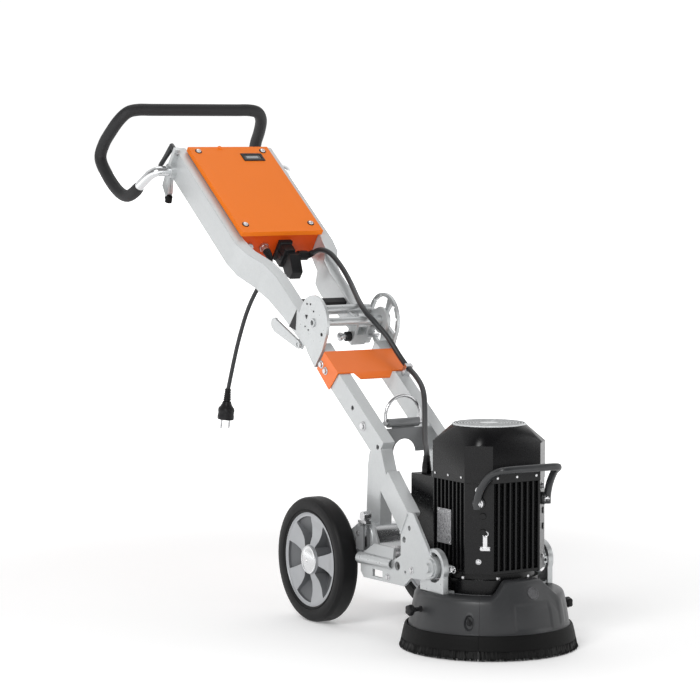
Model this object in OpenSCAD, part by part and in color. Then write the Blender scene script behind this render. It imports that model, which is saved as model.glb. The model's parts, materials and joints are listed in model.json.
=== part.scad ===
// Walk-behind single-disc concrete grinder, folding frame.
// Y is measured from the spindle axis towards the operator; the floor is Z = 0.

/* [Grinding head] */
// Radius of the brush skirt where it meets the floor
skirt_r = 171; // [165:1:176]
// Outer radius of the dust cover at its lower edge
cover_low_r = 155; // [150:1:158]
// Outer radius of the dust cover at its shoulder
cover_top_r = 143; // [140:1:146]
// Height of the cover's shoulder above the floor
cover_top_z = 112; // [108:1:114]
// Half angle of the removable front cover, degrees from straight ahead
front_half_angle = 41; // [30:1:45]
// Radius of the grinding disc
disc_r = 139; // [120:1:142]

/* [Motor] */
// Distance from the motor axis to each of the four fin faces
motor_flat = 91; // [86:1:94]
// Half width of each fin face
motor_flat_half = 54; // [48:1:58]
// Height of the fan cowl's lower edge
cowl_low_z = 323; // [315:1:330]
// Height of the motor's flat top
cowl_top_z = 425; // [415:1:435]

/* [Frame] */
// Slope of the handle frame from the floor, degrees
slope = 36.5; // [30:0.5:42]
// Distance of the fold axis behind the spindle
hinge_y = 505; // [495:1:515]
// Height of the fold axis
hinge_z = 590; // [580:1:600]
// Outer half width of the lower rails
rail_half = 80; // [76:1:84]
// Width of a rail's section
rail_w = 27; // [22:1:30]
// Outer half width of the upper rails beside the control box
upper_half = 121; // [118:1:124]
// Radius of the fold discs
fold_disc_r = 56; // [52:1:60]

/* [Wheels] */
// Wheel radius
wheel_r = 125; // [120:1:130]
// Distance of the wheel axle behind the spindle
axle_y = 401; // [396:1:410]
// Outer face of each tyre from the centre line
wheel_out = 161; // [159:1:165]
// Width of each tyre
tyre_w = 43; // [38:1:44]

/* [Control box] */
// Width of the lid
lid_w = 198; // [190:1:200]
// Where the box starts along the slope from the fold axis
box_s0 = 320; // [314:1:326]
// Length of the lid along the slope
box_len = 300; // [280:1:305]

/* [Handle] */
// Radius of the handle tube
handle_r = 11; // [10:0.5:12]
// Radius over the grip
grip_r = 13.5; // [13:0.5:15]
// Distance of the handle pivot behind the spindle
handle_y = 1040; // [1035:1:1045]
// Height of the handle pivot
handle_z = 892; // [888:1:896]

/* [Hidden] */
$fn = 64;
mid_y = 542;
pivot_z = 160;
plate_in = 126.5;
plate_out = 132;
yoke_in = 114;
yoke_out = 126;
hub_r = 12;
running = 0.05;
// The handle tube's centre and the clamp lever's screw, along and above the slope
clamp_s = (handle_y - hinge_y) * cos(slope) + (handle_z - hinge_z) * sin(slope);
clamp_n = (handle_z - hinge_z) * cos(slope) - (handle_y - hinge_y) * sin(slope);
lever_s = 621;
lever_n = -29;
wall = 3;
base_z = 104;
base_r = 124;
stator_r = 70;
torsion_y = 272;
torsion_z = 184;
torsion_r = 25;
lid_n = -18;
lid_lip = 11;
box_floor_n = -97;
rail_top_n = -25;
rail_low_n = -70;
upper_top_n = -31;
upper_low_n = -92;
latch_r = 41;
// Where each side cover meets the rear hood, degrees from straight ahead
side_end_angle = 96;
pedal_y = 268;
// Cover knobs: side, height, distance behind the spindle axis
knobs = [[-1, 84, 2], [1, 69, -14]];
cord_d = 9;
lead_d = 11;

// Mains cord, hanging free from its gland to the plug's collar.
cord_route = [
    [-33, 787, 724], [-33, 780, 718.6], [-33.5, 773, 711.5], [-35, 769, 703], [-38, 768, 692],
    [-42, 772, 679], [-46, 781, 663], [-51, 796, 643], [-55, 813, 619], [-59, 829, 590],
    [-63, 843, 556], [-67, 856, 518], [-70, 867, 482], [-73, 876, 448], [-75, 883, 423]
];
// Motor lead, upper stretch: connector gland to the clip on the lower rail.
lead_upper_route = [
    [52, 771.6, 714], [60, 771.6, 714], [67, 764, 719], [72.5, 743.5, 726], [77.5, 719.5, 723],
    [80.5, 696.5, 711.5], [79, 659, 688], [74, 622, 662.5], [61, 581, 642], [48.5, 546.5, 628.5],
    [39.5, 518, 617.5], [37, 497.5, 605.5], [42, 475, 589], [52.5, 450, 564.5], [60, 434.5, 544],
    [66, 419, 523], [69.5, 402, 506.5], [70, 392.2, 500]
];
// Motor lead, lower stretch: clip to the gland on the terminal box.
lead_lower_route = [
    [70, 391.4, 499.6], [68, 362, 486], [60, 328, 470], [51, 304, 453], [38, 281, 431], [20, 253, 408],
    [0, 222, 387], [-20, 190, 369], [-34, 164, 358], [-41, 153, 349], [-43, 150, 338], [-43, 150, 326]
];
// Centre line of one side of the handle, from the pivot out, back, up and to the middle.
handle_half = [
    [124, 1040, 892], [135, 1040, 892], [146, 1040, 892], [160, 1042, 891], [171, 1055, 883],
    [179, 1078, 865],
    [184, 1106, 845], [188, 1136, 837], [192, 1170, 849], [195, 1212, 880], [197, 1243, 918],
    [194, 1232, 950], [189, 1206, 978], [180, 1182, 1004], [164, 1170, 1021], [140, 1167, 1026],
    [110, 1167, 1026], [60, 1167, 1026], [0, 1167, 1026]
];

// ---- helpers ------------------------------------------------------------

module placed() translate([0, -mid_y, 0]) children();
module on_slope() placed() translate([0, hinge_y, hinge_z]) rotate([slope, 0, 0]) children();
module right_too() { children(); mirror([1, 0, 0]) children(); }
module rod_x(x0, x1, r) translate([x0, 0, 0]) rotate([0, 90, 0]) cylinder(r = r, h = x1 - x0);
module stub_x(side, x0, x1, r) rod_x(min(side * x0, side * x1), max(side * x0, side * x1), r);
module plate_x(x0, x1) translate([x0, 0, 0]) rotate([90, 0, 90]) linear_extrude(x1 - x0) children();
module block(x0, x1, y0, y1, z0, z1) translate([x0, y0, z0]) cube([x1 - x0, y1 - y0, z1 - z0]);
module hex_head(r, h) cylinder(r = r, h = h, $fn = 6);

function unit(v) = v / norm(v);
function tangent(p, i) = unit(p[min(i + 1, len(p) - 1)] - p[max(i - 1, 0)]);
function side_of(t, v) = unit(v - (v * t) * t);
function sides(p, i, v) =
    i == len(p) ? [] : let (s = side_of(tangent(p, i), v)) concat([s], sides(p, i + 1, s));
function ring_at(p, t, s, r, n) =
    [for (k = [0 : n - 1]) p + r * (cos(360 * k / n) * s + sin(360 * k / n) * cross(t, s))];
function mirrored(p) = [for (v = p) [-v[0], v[1], v[2]]];
function both_sides(p) = concat(mirrored(p), [for (i = [len(p) - 2 : -1 : 0]) p[i]]);
function reversed(p) = [for (i = [len(p) - 1 : -1 : 0]) p[i]];
function curve_point(a, b, c, d, t) =
    0.5 * ((2 * b) + (c - a) * t + (2 * a - 5 * b + 4 * c - d) * t * t + (3 * b - a - 3 * c + d) * t * t * t);
function smooth(p, steps) = concat(
    [for (i = [0 : len(p) - 2], k = [0 : steps - 1])
        curve_point(p[max(i - 1, 0)], p[i], p[i + 1], p[min(i + 2, len(p) - 1)], k / steps)],
    [p[len(p) - 1]]);
function quad_faces(a, b, n) =
    [for (k = [0 : n - 1]) [a + k, a + (k + 1) % n, b + (k + 1) % n, b + k]];

// Solid tube swept along a list of points.
module sweep(p, r, n = 10, first = [0.3, 1, 0.2]) {
    s = sides(p, 0, first);
    rings = [for (i = [0 : len(p) - 1]) ring_at(p[i], tangent(p, i), s[i], r, n)];
    last = (len(p) - 1) * n;
    polyhedron(
        points = [for (g = rings) each g],
        faces = concat(
            [[for (k = [0 : n - 1]) k]],
            [for (i = [0 : len(p) - 2]) each
                [for (f = quad_faces(i * n, (i + 1) * n, n)) reversed(f)]],
            [[for (k = [n - 1 : -1 : 0]) last + k]]),
        convexity = 10);
}

// Hollow sleeve swept along a list of points.
module sweep_sleeve(p, r_out, r_in, n = 12, first = [0.3, 1, 0.2]) {
    s = sides(p, 0, first);
    count = len(p);
    outer = [for (i = [0 : count - 1]) each ring_at(p[i], tangent(p, i), s[i], r_out, n)];
    inner = [for (i = [0 : count - 1]) each ring_at(p[i], tangent(p, i), s[i], r_in, n)];
    base = count * n;
    polyhedron(
        points = concat(outer, inner),
        faces = concat(
            [for (i = [0 : count - 2]) each [for (f = quad_faces(i * n, (i + 1) * n, n)) reversed(f)]],
            [for (i = [0 : count - 2]) each quad_faces(base + i * n, base + (i + 1) * n, n)],
            quad_faces(0, base, n),
            [for (f = quad_faces((count - 1) * n, base + (count - 1) * n, n)) reversed(f)]),
        convexity = 10);
}

// ---- lower frame --------------------------------------------------------

module rail_box(s0, s1, half, n0, n1) {
    difference() {
        block(-half, -half + rail_w, s0, s1, n0, n1);
        block(-half + wall, -half + rail_w - wall, s0 + wall, s1 - wall, n0 + wall, n1 - wall);
    }
}

module leg_slice(x0, x1, y0, z0, y1, z1) {
    translate([x0, 0, 0]) rotate([90, 0, 90]) linear_extrude(x1 - x0)
        polygon([[y0, z0], [y1, z1], [y1 - 1, z1 - 1], [y0 - 1, z0 - 1]]);
}

module side_plate_outline() {
    difference() {
        union() {
            polygon([[104, 216], [78, 256], [60, 256], [12, 198], [0, 180], [-2, 140], [24, 134], [68, 131],
                [93, 112], [238, 110], [249, 122], [249, 149], [132, 156], [104, 170]]);
            translate([0, pivot_z]) circle(r = 20);
        }
        translate([169, 117]) square([36, 14]);
        translate([116, 148]) circle(r = 9);
        translate([74, 226]) circle(r = 5);
        translate([92, 202]) circle(r = 6);
        translate([88, 140]) circle(r = 3);
    }
}

module lower_frame_side() {
    on_slope() difference() {
        rail_box(-338, -36, rail_half, rail_low_n, rail_top_n);
        for (s = [-210, -327]) translate([0, s, -46]) rod_x(-rail_half - 1, -rail_half + wall + 1, 5);
    }
    placed() {
        difference() {
            union() {
                plate_x(-rail_half, -rail_half + rail_w)
                    polygon([[236, 300], [264, 372], [300, 346], [306, 320], [312, 186], [262, 186],
                        [258, 276]]);
                hull() {
                    leg_slice(-rail_half, -rail_half + 6, 262, 277, 232, 314);
                    leg_slice(-plate_out, -plate_in, 104, 214, 78, 255);
                }
                hull() {
                    leg_slice(-rail_half, -rail_half + rail_w, 238, 307, 232, 314);
                    leg_slice(-plate_out, -plate_out + rail_w, 82, 248, 78, 255);
                }
            }
            on_slope_local()
                block(-rail_half - 1, -rail_half + rail_w + 1, -338, -36, rail_low_n, rail_top_n);
            translate([0, torsion_y, torsion_z]) rod_x(-rail_half - 1, -rail_half + rail_w + 1, torsion_r);
        }
        plate_x(-plate_out, -plate_in) side_plate_outline();
        plate_x(-plate_out, -plate_in) polygon([[249, 149], [132, 156], [132, 158], [249, 151]]);
        hull() {
            translate([-plate_out, 132, 155]) cube([5.5, 111, 2]);
            translate([-plate_out + 14, 150, 175]) cube([5, 70, 2]);
        }
        // Tilt spigot for the head, with the transport pin's hole
        translate([0, 0, pivot_z]) difference() {
            union() {
                rod_x(-plate_out - 5, -plate_in, 17);
                rod_x(-plate_out - 11, -plate_out - 5, 9);
                rod_x(-plate_in, -104.5, hub_r);
            }
            translate([-109, 0, 0]) rotate([90, 0, 0]) cylinder(r = 2.6, h = 14);
        }
    }
}
module on_slope_local() translate([0, hinge_y, hinge_z]) rotate([slope, 0, 0]) children();

module lower_frame_left() color("silver") lower_frame_side();
module lower_frame_right() color("silver") mirror([1, 0, 0]) lower_frame_side();

module shield_plate() color("dimgray") placed() {
    difference() {
        block(-53, 53, 296, 299, 342, 390);
        translate([0, 290, 342]) rotate([-90, 0, 0]) cylinder(r = 26, h = 20);
    }
    // Lifting eye's bearing tube on the plate's upper edge
    block(-26, 26, 299, 303, 384, 393);
    translate([0, 303, 400]) difference() {
        rod_x(-36, 36, 9);
        rod_x(-40, 40, 5);
    }
}

module brace_plate() color("darkorange") on_slope() {
    block(-rail_half - 3.4, rail_half + 3.4, -131, -64, rail_top_n, rail_top_n + wall);
    right_too() plate_x(-rail_half - 3.4, -rail_half - 0.4)
        polygon([[-64, rail_top_n + wall], [-62, -70], [-123, -74], [-131, rail_top_n + wall]]);
    // Down-turned lip between the rails, with sloping ends
    difference() {
        plate_x(-46, 46) polygon([[-131, rail_top_n + wall], [-131, rail_top_n], [-146, rail_top_n - 5],
            [-146, rail_top_n - 2]]);
        for (x = [-1, 1]) linear_extrude(60, center = true) polygon([[34 * x, -147], [46 * x, -132],
            [47 * x, -147]]);
    }
}

module frame_bolts() color("lightgray") {
    on_slope() {
        right_too() for (s = [-72, -92]) translate([-rail_half - 3.4, s, -50])
            rotate([0, -90, 0]) hex_head(6, 5);
        right_too() translate([-rail_half, -262, -48]) rotate([0, -90, 0]) hex_head(7, 5);
        // Cable clip on the right lower rail
        translate([70, -144, rail_top_n]) difference() {
            block(-8, 8, -5, 5, 0, 27);
            translate([0, -6, 19.5]) rotate([-90, 0, 0]) cylinder(r = 6.8, h = 12);
        }
    }
    placed() right_too() for (p = [[66, 146], [150, 122]])
        translate([-plate_out, p[0], p[1]]) rotate([0, -90, 0]) hex_head(5, 3.5);
}

module arm_outline() {
    difference() {
        union() {
            translate([axle_y, wheel_r]) circle(r = 22);
            translate([torsion_y, torsion_z]) circle(r = 36);
            translate([224, 140]) circle(r = 16);
            polygon([[axle_y + 8, wheel_r + 20], [axle_y - 8, wheel_r - 20], [torsion_y - 20, torsion_z - 28],
                [torsion_y + 10, torsion_z + 34]]);
            polygon([[214, 152], [232, 126], [torsion_y, torsion_z - 34], [torsion_y - 30, torsion_z + 18]]);
        }
        translate([axle_y, wheel_r]) circle(r = 10);
        translate([340, 152]) circle(r = 12);
    }
}

module axle_carrier() color("gainsboro") placed() {
    difference() {
        union() {
            right_too() plate_x(-106, -100) arm_outline();
            translate([0, torsion_y, torsion_z]) rod_x(-101, 101, torsion_r);
        }
        translate([0, torsion_y, torsion_z]) rod_x(-96, 96, torsion_r - wall);
    }
    right_too() translate([0, 224, 140]) rod_x(-plate_in, -105, 8);
}

module wheel_axle() color("gainsboro") placed() translate([0, axle_y, wheel_r]) {
    rod_x(-156, 156, 10);
    right_too() rod_x(-121, -106, 13);
}

// ---- fold joint ---------------------------------------------------------

module fold_outline() {
    circle(r = fold_disc_r);
    polygon([[-54, 15], [-61, rail_top_n], [-58, rail_low_n], [-20, rail_low_n + 6], [20, -52], [0, 0]]);
}
module fold_pad(x0, x1) block(x0, x1, -57, -37, rail_low_n + 2, rail_top_n - 2);

module fold_disc_left() color("silver") on_slope() {
    plate_x(-rail_half - 6.5, -rail_half - 0.5) difference() {
        fold_outline();
        circle(r = 9 + running);
    }
    fold_pad(-rail_half - 0.5, -rail_half);
}

module fold_ring_right() color("silver") on_slope() {
    plate_x(rail_half + 0.5, rail_half + 7.5) difference() {
        fold_outline();
        circle(r = 9 + running);
        // Open windows: the latch plunger travels in the first one
        for (span = [[-112, 76], [96, 178]]) intersection() {
            difference() { circle(r = latch_r + 7.5); circle(r = 20); }
            polygon([[0, 0], for (k = [0 : 6]) let (a = span[0] + k * (span[1] - span[0]) / 6)
                [70 * cos(a), 70 * sin(a)]]);
        }
        for (a = [-75, -45, -15, 15, 45, 110, 140, 170]) rotate(a) translate([latch_r + 9, 0]) circle(r = 3);
    }
    fold_pad(rail_half, rail_half + 0.5);
}

// ---- upper frame --------------------------------------------------------

joggle_s0 = 180;
joggle_s1 = 306;
rail_end_s = 640;

module rail_plan(inset, s0, s1) {
    h0 = rail_half - inset;
    h1 = upper_half - inset;
    w = rail_w - 2 * inset;
    polygon([[s0, -h0], [joggle_s0, -h0], [joggle_s0 + 42, -h0 - 8], [joggle_s1 - 42, -h1 + 8],
        [joggle_s1, -h1],
        [s1, -h1], [s1, -h1 + w], [joggle_s1 + 8, -h1 + w], [joggle_s1 - 34, -h1 + w + 8],
        [joggle_s0 + 50, -h0 + w - 8], [joggle_s0 + 8, -h0 + w], [s0, -h0 + w]]);
}

module rail_elevation(inset, s0, s1) {
    polygon([[s0, rail_low_n + inset], [112, -78 + inset], [210, upper_low_n + inset],
        [s1 - 14, upper_low_n + inset], [s1, upper_low_n + 14 + inset], [s1, upper_top_n - 6 - inset],
        [s1 - 6, upper_top_n - inset], [joggle_s1, upper_top_n - inset], [joggle_s0, rail_top_n - inset],
        [s0, rail_top_n - inset]]);
}

module rail_body(inset, s0, s1) intersection() {
    translate([0, 0, -110]) linear_extrude(100) rotate(90) mirror([0, 1]) rail_plan(inset, s0, s1);
    plate_x(-140, 0) rail_elevation(inset, s0, s1);
}

module upper_rail() on_slope() {
    difference() {
        rail_body(0, 8, rail_end_s);
        rail_body(wall, 8 + wall, rail_end_s - wall);
        translate([0, clamp_s, clamp_n])
            rod_x(-upper_half - 1, -upper_half + rail_w + 1, handle_r + 2 * running);
    }
    // Hinge ear above the rail's lower end
    difference() {
        plate_x(-rail_half, -rail_half + 7) {
            circle(r = 28);
            polygon([[8, rail_top_n - 1], [62, rail_top_n], [26, 10], [0, 0]]);
        }
        rod_x(-rail_half - 1, -rail_half + 8, 9);
        block(-rail_half - 1, -rail_half + 8, 7.9, 80, -90, rail_top_n);
    }
}

module upper_rail_left() color("silver") {
    upper_rail();
    // Lug and pin of the release lever
    on_slope() {
        block(-74, -68, 20, 42, -90, rail_low_n - 1);
        translate([0, 31, -84]) rod_x(-80, -70, 3.95);
    }
}
module upper_rail_right() color("silver") mirror([1, 0, 0]) upper_rail();

// Housing of the latch plunger, open below round the plunger's stop collar
module latch_housing() difference() {
    union() {
        for (x = [16, 44]) plate_x(x, x + 6)
            polygon([[8.5, 3], [38, -5], [30, -24], [13, -30], [13, -54], [-13, -54], [-13, -28], [-8, -4]]);
        block(16, 50, -13, 13, -54, -28);
    }
    translate([0, 0, -latch_r]) {
        rod_x(15, 51, 6 + running);
        rod_x(22, 44, 9.3);
        block(22, 44, -9.3, 9.3, -14, 0);
    }
}

module upper_tubes() color("gainsboro") on_slope() {
    difference() {
        rod_x(-rail_half - 9.5, rail_half + 10.5, 9);
        rod_x(-rail_half - 12, rail_half + 12, 5);
    }
    translate([0, 46, -7]) rod_x(-rail_half + 7, rail_half - 7, 10);
    latch_housing();
}

module cross_member() color("#202020") on_slope() block(-53, 53, 96, 112, -52, -30);

module control_box() color("orangered") on_slope() difference() {
    block(-94, 94, box_s0 + 3, box_s0 + box_len - 3, box_floor_n, lid_n - lid_lip);
    block(-90, 90, box_s0 + 6, box_s0 + box_len - 6, box_floor_n + wall, lid_n);
    for (x = [-33, -71]) translate([x, box_s0, -60]) rotate([-90, 0, 0]) cylinder(r = 9, h = 8);
    for (x = [-58, -14]) translate([x, box_s0 + box_len - 8, -66]) rotate([-90, 0, 0])
        cylinder(r = 9, h = 8);
    translate([54, box_s0 + box_len - 8, -66]) rotate([-90, 0, 0]) cylinder(r = 4, h = 8);
}

module box_lid() color("darkorange") on_slope() difference() {
    block(-lid_w / 2, lid_w / 2, box_s0, box_s0 + box_len, lid_n - lid_lip, lid_n);
    block(-lid_w / 2 + 2, lid_w / 2 - 2, box_s0 + 2, box_s0 + box_len - 2, lid_n - lid_lip - 1, lid_n - 2);
    for (x = [-80, 80], s = [26, 284]) translate([x, box_s0 + s, lid_n - 5]) cylinder(r = 3, h = 8);
    block(22, 68, box_s0 + 251, box_s0 + 271, lid_n - 5, lid_n + 1);
}

module lid_screws() color("gainsboro") on_slope()
    for (x = [-80, 80], s = [26, 284]) translate([x, box_s0 + s, lid_n]) {
        cylinder(r = 6, h = 2);
        translate([0, 0, -8]) cylinder(r = 2.9, h = 8);
    }

module display() color("black") on_slope() {
    block(22.2, 67.8, box_s0 + 251.2, box_s0 + 270.8, lid_n - 8, lid_n);
    difference() {
        block(19, 71, box_s0 + 248, box_s0 + 274, lid_n, lid_n + 1.6);
        block(25, 65, box_s0 + 254, box_s0 + 268, lid_n + 0.6, lid_n + 2);
    }
}

module drive_unit() color("darkslategray") on_slope() {
    block(-72, 72, box_s0 + 60, box_s0 + 236, box_floor_n + wall, -46);
    for (k = [0 : 9]) block(-60 + 12 * k, -56 + 12 * k, box_s0 + 66, box_s0 + 230, -46, -38);
}

module cable_glands() color("lightgray") on_slope() {
    translate([-33, box_s0 + 6, -60]) rotate([90, 0, 0]) difference() {
        union() {
            cylinder(r = 8.9, h = 8);
            translate([0, 0, 3]) cylinder(r = 11.5, h = 6, $fn = 6);
            translate([0, 0, 9]) cylinder(r1 = 9.5, r2 = 7, h = 13);
        }
        translate([0, 0, -1]) cylinder(r = cord_d / 2, h = 40);
    }
    // Blanking plug beside it
    translate([-71, box_s0 + 6, -60]) rotate([90, 0, 0]) {
        cylinder(r = 8.9, h = 3);
        translate([0, 0, 3]) cylinder(r = 11, h = 5);
    }
}

module connector_hood() color("#202020") on_slope() {
    block(-2, 30, box_s0 - 7, box_s0 + 3, -92, -42);
    difference() {
        union() {
            block(1, 27, 290, box_s0 - 7, -92, -46);
            plate_x(8, 34) polygon([[291, -52], [280, -50], [248, -72], [249, -92], [272, -98], [291, -90]]);
            translate([0, 288, -59]) rod_x(34, 58, 10.5);
        }
        translate([0, 288, -59]) rod_x(26, 59, lead_d / 2);
    }
    for (x = [-1, 26]) block(x, x + 3, 294, box_s0 - 7, -76, -64);
}

module lead_upper() color("#303030") placed() sweep(smooth(lead_upper_route, 3), lead_d / 2, 10);
module lead_lower() color("#303030") placed() sweep(smooth(lead_lower_route, 3), lead_d / 2, 10);
module mains_cord() color("#303030") placed() sweep(smooth(cord_route, 2), cord_d / 2, 10);

module mains_plug() color("#202020") placed() translate(cord_route[len(cord_route) - 1]) rotate([5, 3, 0]) {
    translate([0, 0, -36]) cylinder(r1 = 10, r2 = 6, h = 36);
    difference() {
        translate([0, 0, -64]) cylinder(r = 19, h = 28);
        translate([0, 0, -65]) cylinder(r = 15, h = 9);
    }
    for (x = [-9.5, 9.5]) translate([x, 0, -84]) cylinder(r = 2.4, h = 30);
}

// ---- handle -------------------------------------------------------------

module clamp_collar(r) difference() {
    translate([0, handle_y, handle_z]) rod_x(-upper_half - 12, -upper_half, r);
    translate([0, handle_y, handle_z]) rod_x(-upper_half - 13, -upper_half + 1, handle_r + 2 * running);
}

module handle_clamps() color("silver") {
    placed() mirror([1, 0, 0]) clamp_collar(14);
    placed() clamp_collar(17);
    on_slope() difference() {
        union() {
            // Lug that the clamp lever's screw pulls on
            block(-upper_half - 12, -upper_half, lever_s - 10, lever_s, clamp_n + 14, lever_n + 9);
            // Jaws below the tube
            for (x = [[-upper_half - 12, -upper_half - 7], [-upper_half - 6, -upper_half]])
                plate_x(x[0], x[1]) polygon([[clamp_s - 10, clamp_n - 13], [clamp_s + 10, clamp_n - 13],
                    [clamp_s + 6, clamp_n - 44], [clamp_s - 22, clamp_n - 54],
                    [clamp_s - 26, clamp_n - 42]]);
        }
        translate([-upper_half - 6, lever_s - 11, lever_n]) rotate([-90, 0, 0]) cylinder(r = 3, h = 12);
    }
}

handle_side = smooth(handle_half, 3);
handle_path = both_sides(handle_side);
grip_start = 16;

module handle_tube() color("gainsboro") placed() {
    right_too() translate([0, handle_y, handle_z]) rod_x(-130, -96, handle_r);
    sweep(handle_path, handle_r, 12);
}

module handle_grip() color("#252525") placed() {
    last = len(handle_path) - 1 - grip_start;
    sweep_sleeve([for (i = [grip_start : last]) handle_path[i]], grip_r, handle_r + running, 12);
}

module clamp_lever() color("#202020") on_slope() translate([-upper_half - 6, lever_s, lever_n]) {
    rotate([-90, 0, 0]) {
        translate([0, 0, -15]) cylinder(r = 2.95, h = 20);
        translate([0, 0, 0.4]) cylinder(r = 5.6, h = 21);
        translate([0, 0, -15]) cylinder(r = 5, h = 4.6, $fn = 6);
    }
    translate([0, 16, 0]) rotate([0, 14, 0]) hull() {
        rotate([90, 0, 0]) cylinder(r = 5.4, h = 10, center = true, $fn = 32);
        translate([0, 0, -54]) rotate([90, 0, 0]) cylinder(r = 3.5, h = 8, center = true, $fn = 32);
    }
}

module fold_lever() color("gainsboro") on_slope() difference() {
    union() {
        plate_x(-80, -74.4) {
            translate([31, -84]) circle(r = 9);
            polygon([[31, -75.5], [126, -98], [140, -104], [136, -122], [120, -124], [31, -93]]);
            translate([130, -111]) circle(r = 13);
        }
        plate_x(-74.4, -62) polygon([[60, -103.5], [120, -124], [136, -122], [133, -119], [120, -120.5],
            [61, -100]]);
    }
    translate([0, 31, -84]) rod_x(-81, -60, 4);
}

module lock_plunger() color("gainsboro") on_slope() translate([0, 0, -latch_r]) {
    rod_x(-2, 54, 6);
    rod_x(54, rail_half + 7, 4);
    rod_x(-12, -2, 9);
    rod_x(30.5, 38, 8.5);
}

module lift_bail() color("gainsboro") placed() translate([0, 303, 400]) {
    rod_x(-44, 44, 4.9);
    for (x = [-40, 40]) translate([x, 0, 0]) cylinder(r = 3.5, h = 14);
    translate([0, 0, 14]) rotate([90, 0, 0]) rotate_extrude(angle = 180)
        translate([40, 0]) circle(r = 3.5, $fn = 20);
}

module pedal_bracket() color("dimgray") placed() {
    difference() {
        union() {
            block(-126, -121.5, 250, 276, 160, 208);
            block(-112, -106.5, 256, 276, 160, 208);
            block(-121.5, -112, 256, 276, 160, 164);
        }
        translate([0, pedal_y, 192]) rod_x(-130, -105, 5 + running);
    }
    block(-106.5, -106, 262, 276, 164, 200);
}

module foot_pedal() color("silver") placed() {
    translate([0, pedal_y, 192]) rod_x(-128, -107, 5);
    block(-121, -112.5, pedal_y - 10, pedal_y + 2, 186, 216);
    block(-124, -112.5, pedal_y - 26, pedal_y + 4, 213, 218);
    translate([-120, pedal_y - 18, 228]) rod_x(-8, 8, 9);
    block(-124, -115.5, pedal_y - 23, pedal_y - 13, 216, 226);
}

// ---- buttons ------------------------------------------------------------

module at_end_panel(x) on_slope() translate([x, box_s0 + box_len - 3, -66]) rotate([-90, 0, 0]) children();
module start_button() color("green") at_end_panel(-14) {
    translate([0, 0, -7]) cylinder(r = 8.9, h = 11);
    translate([0, 0, 4]) cylinder(r = 11, h = 5);
}
module stop_button() color("red") at_end_panel(-58) {
    translate([0, 0, -7]) cylinder(r = 8.9, h = 14);
    translate([0, 0, 7]) cylinder(r = 18, h = 10);
}
module speed_knob() color("#202020") at_end_panel(54) {
    translate([0, 0, -5]) cylinder(r = 3.9, h = 6);
    translate([0, 0, 1]) cylinder(r = 13, h = 12);
    block(-1.5, 1.5, 3, 12, 13, 14);
}

// ---- wheels -------------------------------------------------------------

tyre_mid = wheel_out - tyre_w / 2;
rim_r = 94;

module on_wheel(dir) placed() translate([dir * tyre_mid, axle_y, wheel_r]) rotate([0, dir * 90, 0])
    children();
module tyre() rotate_extrude($fn = 96) polygon([
    [rim_r, -19], [rim_r + 12, -tyre_w / 2], [wheel_r - 9, -tyre_w / 2], [wheel_r, -tyre_w / 2 + 11],
    [wheel_r, tyre_w / 2 - 11], [wheel_r - 9, tyre_w / 2], [rim_r + 12, tyre_w / 2], [rim_r, 19]]);
module rim() difference() {
    union() {
        rotate_extrude() polygon([
            [13.5, -19], [29, -19], [31, -8], [86, -8], [88, -18], [rim_r, -18], [rim_r, 18], [86, 18],
            [84, 8], [31, 8], [29, 19], [13.5, 19]]);
        translate([0, 0, 19]) cylinder(r = 22, h = 3);
    }
    for (k = [0 : 4]) rotate(72 * k + 18) translate([0, 0, -9]) linear_extrude(18)
        polygon([[35, -9], [81, -17], [82.4, 0], [81, 17], [35, 9]]);
    translate([0, 0, 17]) cylinder(r = 13.5, h = 3);
}
module bearings() for (z = [-18, 4]) translate([0, 0, z]) difference() {
    cylinder(r = 13.5, h = 12);
    translate([0, 0, -1]) cylinder(r = 10 + running, h = 14);
}
module tyre_left() color("#1c1c1c") on_wheel(-1) tyre();
module rim_left() color("darkgray") on_wheel(-1) rim();
module bearings_left() color("gainsboro") on_wheel(-1) bearings();
module tyre_right() color("#1c1c1c") on_wheel(1) tyre();
module rim_right() color("darkgray") on_wheel(1) rim();
module bearings_right() color("gainsboro") on_wheel(1) bearings();

// ---- head ---------------------------------------------------------------

module octagon(flat, half) polygon([
    [flat, -half], [flat, half], [half, flat], [-half, flat], [-flat, half], [-flat, -half], [-half, -flat],
    [half, -flat]]);

module base_plate() color("silver") placed() difference() {
    translate([0, 0, base_z]) cylinder(r = base_r, h = 8);
    translate([0, 0, base_z - 1]) cylinder(r = 40, h = 10);
}

module motor_housing() color("#151515") placed() difference() {
    union() {
        translate([0, 0, base_z + 8]) cylinder(r = 94, h = 28);
        translate([0, 0, 140]) cylinder(r = 88, h = 12);
        translate([0, 0, 152]) linear_extrude(cowl_low_z - 152) octagon(motor_flat, motor_flat_half);
    }
    for (turn = [0 : 3]) rotate(90 * turn) for (k = [0 : 7])
        block(motor_flat - 9, motor_flat + 1, -50.5 + 13 * k, -41.5 + 13 * k, 158, 330);
    translate([0, 0, 132]) cylinder(r = stator_r, h = 168);
    // Bearing seats in the two end walls
    translate([0, 0, 117]) cylinder(r = 26, h = 20);
    translate([0, 0, 290]) cylinder(r = 26, h = 24);
    translate([0, 0, 100]) cylinder(r = 20, h = 20);
    translate([0, 0, 300]) cylinder(r = 16, h = 30);
}

module stator() color("peru") placed() translate([0, 0, 180]) difference() {
    cylinder(r = stator_r, h = 110);
    translate([0, 0, -1]) cylinder(r = 48.8, h = 112);
}

module motor_bearings() color("gainsboro") placed() for (z = [117, 301]) translate([0, 0, z]) difference() {
    cylinder(r = 26, h = 13);
    translate([0, 0, -1]) cylinder(r = 14 + running, h = 15);
}

module cowl_shell(inset) {
    linear_extrude(70 - inset) octagon(motor_flat + 1 - inset, motor_flat_half - inset / 2);
}

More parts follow.
